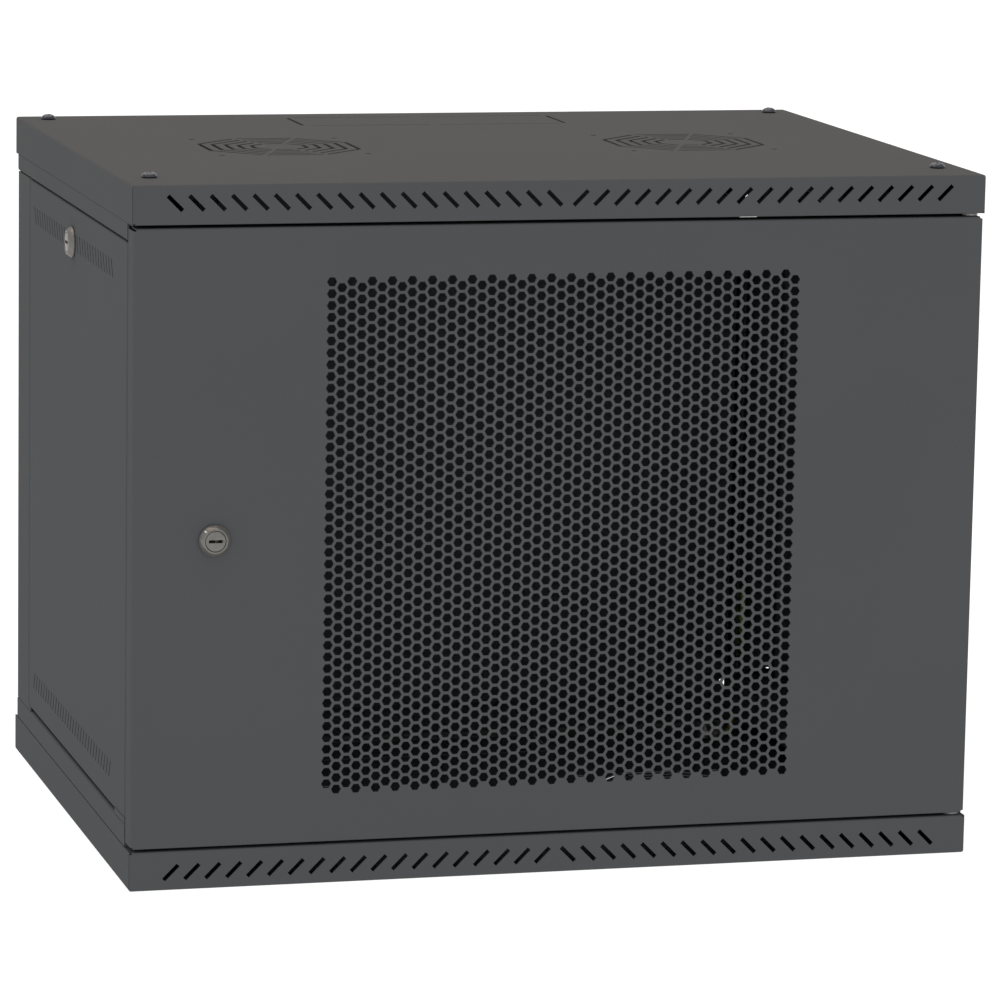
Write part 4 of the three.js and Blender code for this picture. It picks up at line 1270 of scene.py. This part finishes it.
def build_lock(origin, axis, u_axis, body, lock, cam_length, cam_turn, screw_nodes=()):
    """One cam lock; its own frame has the key side at +Z and the keyway along X."""
    axis_z, axis_x = Vector(axis), Vector(u_axis)
    turn = Matrix((axis_x, axis_z.cross(axis_x), axis_z)).transposed().to_4x4()
    matrix = Matrix.Translation(Vector(origin)) @ turn

    def add(part, ending, shape, look, smooth, rides, *nodes):
        solid(f"{lock}_{part}_{ending}", moved(shape, matrix), look, smooth, rides, *nodes)

    nickel, zinc = (NICKEL, "nickel"), (ZINC, "zinc")
    add("housing", "turned", lock_housing_shape(), nickel, 30, body, lock + "_housing")
    nut = hexagon_nut(**LOCK_NUT, bore=LOCK["barrel"] + 0.1)
    add("nut", "hexagon", nut, zinc, 28, body, lock + "_nut")
    add("plug", "turned", lock_plug_shape(), nickel, 30, lock, lock + "_plug")
    add("plug", "wafers", key_wafers(), zinc, 30, lock)
    cam = moved(cam_shape(cam_length, CAM["span"]), Matrix.Rotation(cam_turn, 4, "Z"))
    add("cam", "stamped", cam, zinc, 30, lock, lock + "_cam")
    flip = Matrix.Translation((0, 0, CAM["screw_seat"])) @ Matrix.Rotation(math.pi, 4, "X")
    screw = moved(cross_screw(5.4, 3.0, 2.0, 6.5), flip)
    add("plug", "cam_screw", screw, zinc, 40, lock, *screw_nodes)


def build_locks():
    middle = centre_mm("door_lock_housing")
    origin = (middle.x, box_mm("door_sheet")[0].y, middle.z)
    screw = ["door_lock_cam_screw"]
    build_lock(origin, (0, -1, 0), (1, 0, 0), "door", "door_lock", CAM["door"], -math.pi / 2, screw)
    for side, sign in SIDES:
        middle = centre_mm(f"side_lock_{side}_housing")
        panel = f"side_panel_{side}"
        origin = (outer_x(panel, sign), middle.y, middle.z)
        build_lock(origin, (sign, 0, 0), (0, 1, 0), panel, f"side_lock_{side}", CAM["side"], 0.0)


# ---------- Hinge ----------


def build_hinge():
    low, high = box_mm("hinge_pin_top")
    lever_reach = 22
    x, y = high.x - COLLAR_RADIUS, (low.y + high.y) / 2
    upper = 448.5
    pin = lathe(rounded([
        (0, low.z), (2.6, low.z), (3, low.z + 0.5), (3, upper), (5, upper), (5, upper + 2.3),
        (3, upper + 2.3), (3, high.z - 1.2), (2.1, high.z), (0, high.z),
    ], 0.25, 2), 32)
    bracket_low = box_mm("hinge_bracket_top")[0]
    lever = lathe(rounded([
        (0, -1), (2.5, -1), (2.5, lever_reach - 1), (1.6, lever_reach), (0, lever_reach),
    ], 0.5, 3), 24)
    lever = moved(lever, to_matrix((0, 0, bracket_low.z - 6), (-1, 0, 0)))
    shape = moved(merge([pin, lever]), Matrix.Translation((x, y, 0)))
    solid("hinge_pin_top_turned", shape, (ZINC, "zinc"), 30, "hinge_pin", "hinge_pin_top")

    low, high = box_mm("hinge_pin_bottom")
    seat = box_mm("door_sheet")[0].z + SHEET + 0.3
    pin = lathe(rounded([
        (0, low.z), (2.1, low.z), (3, low.z + 1.2), (3, seat), (5, seat), (5, seat + 2.3),
        (3, seat + 2.3), (3, high.z - 0.6), (2.4, high.z), (0, high.z),
    ], 0.25, 2), 32)
    shape = moved(pin, Matrix.Translation((x, y, 0)))
    solid("hinge_pin_bottom_turned", shape, (ZINC, "zinc"), 30, "door", "hinge_pin_bottom")

    for node, body in (("hinge_washer_top", "door"), ("hinge_washer_bottom", "cabinet")):
        low, high = box_mm(node)
        ring = rounded([(3.4, low.z), (5.5, low.z), (5.5, high.z), (3.4, high.z)], 0.25, 3)
        shape = moved(lathe(ring, 40), Matrix.Translation((x, y, 0)))
        solid(node + "_turned", shape, (NYLON, "nylon"), 30, body, node)

    for node, foot_is_low in (("hinge_bracket_top", True), ("hinge_bracket_bottom", False)):
        low, high = box_mm(node)
        reach = high.y - low.y
        legs = [(reach, 1)]
        fold = Fold(low.z, high.z, legs if foot_is_low else [], [] if foot_is_low else legs, FRAME_SHEET, 2.0)
        sign = -1 if foot_is_low else 1
        hole = round_hole(fold.leg_at(sign, 0, y - low.y), x, PIN_HOLE)
        args = ((0, low.y, 0), (0, 0, 1), (1, 0, 0), (0, 1, 0))
        channel(node, "door", "zinc", ZINC, fold, (low.x, high.x), [hole], args, FRAME_SHEET)
    build_spring(x, y)


def build_spring(x, y):
    low, high = box_mm("hinge_spring")
    turns, wire = 9.0, 0.55
    radius = high.x - x - wire
    closed = 1.0  # flat turns at each end
    points = []
    steps = 24
    total = int(turns * steps)
    for k in range(total + 1):
        t = k / total * turns
        if t < closed:
            rise = wire * 2 * t
        elif t > turns - closed:
            rise = high.z - low.z - 2 * wire - wire * 2 * (turns - t)
        else:
            span = (t - closed) / (turns - 2 * closed)
            rise = wire * 2 * closed + span * (high.z - low.z - 2 * wire - 4 * wire * closed)
        angle = 2 * math.pi * t
        points.append((x + radius * math.cos(angle), y + radius * math.sin(angle), low.z + wire + rise))
    look = (SPRING_WIRE, "spring_steel")
    piece = solid("hinge_spring_coil", tube(points, wire, 10), look, 60, "door", "hinge_spring")
    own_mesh(piece)


# ---------- Earth wire ----------


def tube(points, radius, sides):
    """(verts, faces) of a round tube with closed ends along points."""
    path = [Vector(p) for p in points]
    verts, faces = [], []
    heading = (path[1] - path[0]).normalized()
    side = heading.orthogonal().normalized()
    for i, point in enumerate(path):
        ahead = path[min(i + 1, len(path) - 1)] - path[max(i - 1, 0)]
        turn = heading.rotation_difference(ahead.normalized())
        side = turn @ side
        heading = ahead.normalized()
        other = heading.cross(side)
        for k in range(sides):
            angle = 2 * math.pi * k / sides
            verts.append(point + side * radius * math.cos(angle) + other * radius * math.sin(angle))
    for i in range(len(path) - 1):
        for k in range(sides):
            a, b = i * sides + k, i * sides + (k + 1) % sides
            faces.append((a, b, b + sides, a + sides))
    faces.append(tuple(reversed(range(sides))))
    faces.append(tuple(range((len(path) - 1) * sides, len(path) * sides)))
    return verts, faces


def smooth_path(points, per_span=10):
    """A Catmull-Rom curve through points."""
    path = [Vector(p) for p in points]
    ends = [path[0] * 2 - path[1], *path, path[-1] * 2 - path[-2]]
    curve = []
    for i in range(1, len(ends) - 2):
        a, b, c, d = ends[i - 1:i + 3]
        for k in range(per_span):
            t = k / per_span
            curve.append(0.5 * (2 * b + (c - a) * t + (2 * a - 5 * b + 4 * c - d) * t * t
                                + (3 * b - a - 3 * c + d) * t ** 3))
    curve.append(path[-1])
    return curve


EARTH = {"reach": 15, "barrel": 2.8, "gap": 0.3}  # of the ring terminals, seen from the stud
WIRE_RADIUS = 1.95


def terminal_shape():
    """A crimped ring terminal on a stud at the origin, with its barrel along +Y."""
    ring = cut_out(lathe(rounded([(0, 0.3), (6, 0.3), (6, 1.9), (0, 1.9)], 0.2, 2), 36),
                   [lathe([(0, -1), (3.3, -1), (3.3, 4), (0, 4)], 24)])
    neck = flat_bar((-2.6, 2.6), (4.6, 9), (0.3, 1.9))
    barrel = lathe(rounded([
        (1.7, 7), (2.8, 7), (2.8, 10), (2.5, 10.6), (2.5, 12), (2.8, 12.6), (2.8, 15), (1.7, 15),
    ], 0.3, 2), 24)
    barrel = moved(barrel, Matrix.Translation((0, 0, 3.1)) @ Matrix.Rotation(-math.pi / 2, 4, "X"))
    return merge([ring, neck, barrel])


def stud_shape():
    bolt = lathe(threaded(3.0, 0.0, 11.0), 24)
    nut = six_sided([(0, 2.2), (5.0, 2.2), (5.5, 2.6), (5.5, 6.3), (5.0, 6.7), (0, 6.7)])
    return merge([bolt, nut])


def build_earthing():
    rx, _, rz = centre_mm("earth_stud_rear")
    fx, fy, _ = centre_mm("earth_stud_floor")
    face, seat = box_mm("earth_stud_rear")[1].y, box_mm("earth_stud_floor")[0].z
    on_post = Matrix.Translation((rx, face, rz)) @ Matrix.Rotation(math.pi / 2, 4, "X")
    on_floor = Matrix.Translation((fx, fy, seat)) @ Matrix.Rotation(-math.pi / 2, 4, "Z")
    for node, matrix in (("earth_stud_rear", on_post), ("earth_stud_floor", on_floor)):
        solid(node + "_threaded", moved(stud_shape(), matrix), (ZINC, "zinc"), 28, "cabinet", node)
    lead = EARTH["barrel"] + EARTH["gap"]
    into = EARTH["reach"] - 2
    route = [
        (rx, face - lead, rz + into), (272, 212.1, 102), (271.3, 209.7, 107.9), (269.7, 204.1, 110.4),
        (268, 198.4, 107.9), (267.3, 196, 102), (267, 195.8, 94), (266.8, 197, 86), (266.8, 200, 78),
        (266.8, 203.8, 70), (266.9, 207, 62), (266.9, 208.5, 54), (266.9, 208.6, 46), (266.4, 207, 38),
        (264.6, 202.5, 31.5), (262, 195.5, 27), (259.3, 187, 23.5), (256.3, 178.5, 18.8), (253, 171, 13.2),
        (249.6, 165, 8.4), (246.2, 161.4, 5.5), (243.5, 160.1, 4.6), (fx + into, fy, seat + lead),
    ]
    curve = smooth_path(route)
    sides = 14
    wire = mesh_object("earth_wire_insulated", *tube(curve, WIRE_RADIUS, sides), INSULATION, 60)
    wind_uv(wire, sides)
    place(wire, "cabinet", "earth_wire", "earth_wire")
    terminals = merge([moved(terminal_shape(), on_post), moved(terminal_shape(), on_floor)])
    ends = solid("earth_wire_terminals", terminals, (TINNED_COPPER, "zinc"), 30, "cabinet")


def wind_uv(piece, sides):
    """Puts UVs on a tube in step with its length, so that a stripe winds round it."""
    mesh = piece.data
    layer = mesh.uv_layers.new(name="wind")
    lengths = [0.0]
    rings = len(mesh.vertices) // sides
    for i in range(1, rings):
        step = (mesh.vertices[i * sides].co - mesh.vertices[(i - 1) * sides].co).length
        lengths.append(lengths[-1] + step / MM)
    for polygon in mesh.polygons:
        for corner, index in zip(polygon.loop_indices, polygon.vertices):
            turn = index % sides
            if turn == 0 and any(v % sides == sides - 1 for v in polygon.vertices):
                turn = sides
            layer.data[corner].uv = (lengths[index // sides] * 0.55, turn / sides * 4)


# ---------- Studio ----------


CAMERA_PLACE = (-0.96761, -3.63342, 0.88096)
CAMERA_YAW = 0.2646
CAMERA_PITCH = 0.1733
CAMERA_ROLL = 0.0178
CAMERA_LENS = 189.26


def add_camera():
    yaw, pitch, roll = CAMERA_YAW, CAMERA_PITCH, CAMERA_ROLL
    forward = Vector((math.sin(yaw) * math.cos(pitch), math.cos(yaw) * math.cos(pitch), -math.sin(pitch)))
    level = Vector((math.cos(yaw), -math.sin(yaw), 0))
    upright = level.cross(forward)
    right = math.cos(roll) * level + math.sin(roll) * upright
    up = -math.sin(roll) * level + math.cos(roll) * upright
    camera = bpy.data.objects.new("camera", bpy.data.cameras.new("camera"))
    camera.data.lens = CAMERA_LENS
    camera.data.sensor_width = 36
    camera.data.clip_end = 200
    turn = Matrix((right, up, -forward)).transposed().to_4x4()
    camera.matrix_world = Matrix.Translation(CAMERA_PLACE) @ turn
    bpy.context.scene.collection.objects.link(camera)
    bpy.context.scene.camera = camera


def area_light(name, place_at, aim, size, power, colour):
    light = bpy.data.objects.new(name, bpy.data.lights.new(name, "AREA"))
    light.data.shape = "DISK"
    light.data.size = size
    light.data.energy = power
    light.data.color = colour
    aim_at = Vector(aim) - Vector(place_at)
    light.rotation_euler = aim_at.to_track_quat("-Z", "Y").to_euler()
    light.location = place_at
    bpy.context.scene.collection.objects.link(light)


def add_studio():
    scene = bpy.context.scene
    scene.view_settings.view_transform = "Standard"
    scene.view_settings.look = "None"
    world = bpy.data.worlds.new("studio")
    world.use_nodes = True
    tree = world.node_tree
    seen = tree.nodes.new("ShaderNodeLightPath").outputs["Is Camera Ray"]
    span = tree.nodes.new("ShaderNodeMapRange")
    span.inputs["To Min"].default_value = WORLD_LIGHT
    span.inputs["To Max"].default_value = 1.0
    tree.links.new(seen, span.inputs["Value"])
    tree.links.new(span.outputs["Result"], tree.nodes["Background"].inputs["Strength"])
    tree.nodes["Background"].inputs["Color"].default_value = (1, 1, 1, 1)
    scene.world = world
    middle = (0, 0, 0.24)
    area_light("top_light", (-0.3, 0.9, 3.6), middle, 5.0, 86, (1.0, 0.80, 0.64))
    area_light("key_light", (-2.67, -0.47, 2.75), middle, 0.25, 3.5, (1.0, 0.96, 0.92))
    area_light("side_light", (-2.5, -2.6, 1.0), middle, 1.4, 1.0, (0.85, 0.92, 1.0))
    mesh = bpy.data.meshes.new("floor")
    reach, drop = 40.0, -0.0001  # just under the cabinet, so that the two faces don't coincide
    corners = [(-reach, -reach, drop), (reach, -reach, drop), (reach, reach, drop), (-reach, reach, drop)]
    mesh.from_pydata(corners, [], [(0, 1, 2, 3)])
    linked("floor", mesh, studio_floor())


# ---------- The cabinet ----------


PAINT = powder_coat()
ZINC = zinc_plate()
BLACK_ZINC = zinc_plate("black_zinc", 0.1)
NICKEL = satin_nickel()
BLACK_NICKEL = black_nickel()
SPRING_WIRE = spring_wire()
NYLON = nylon()
INSULATION = earth_insulation()
TINNED_COPPER = tinned_copper()

add_camera()
add_studio()
build_covers()
build_door_sheet()
build_stiffeners()
build_side_panels()
build_rails()
build_posts()
build_keepers()
build_rear_panel()
build_rack_rails()
build_rack_bolts()
build_screws()
build_locks()
build_hinge()
build_earthing()
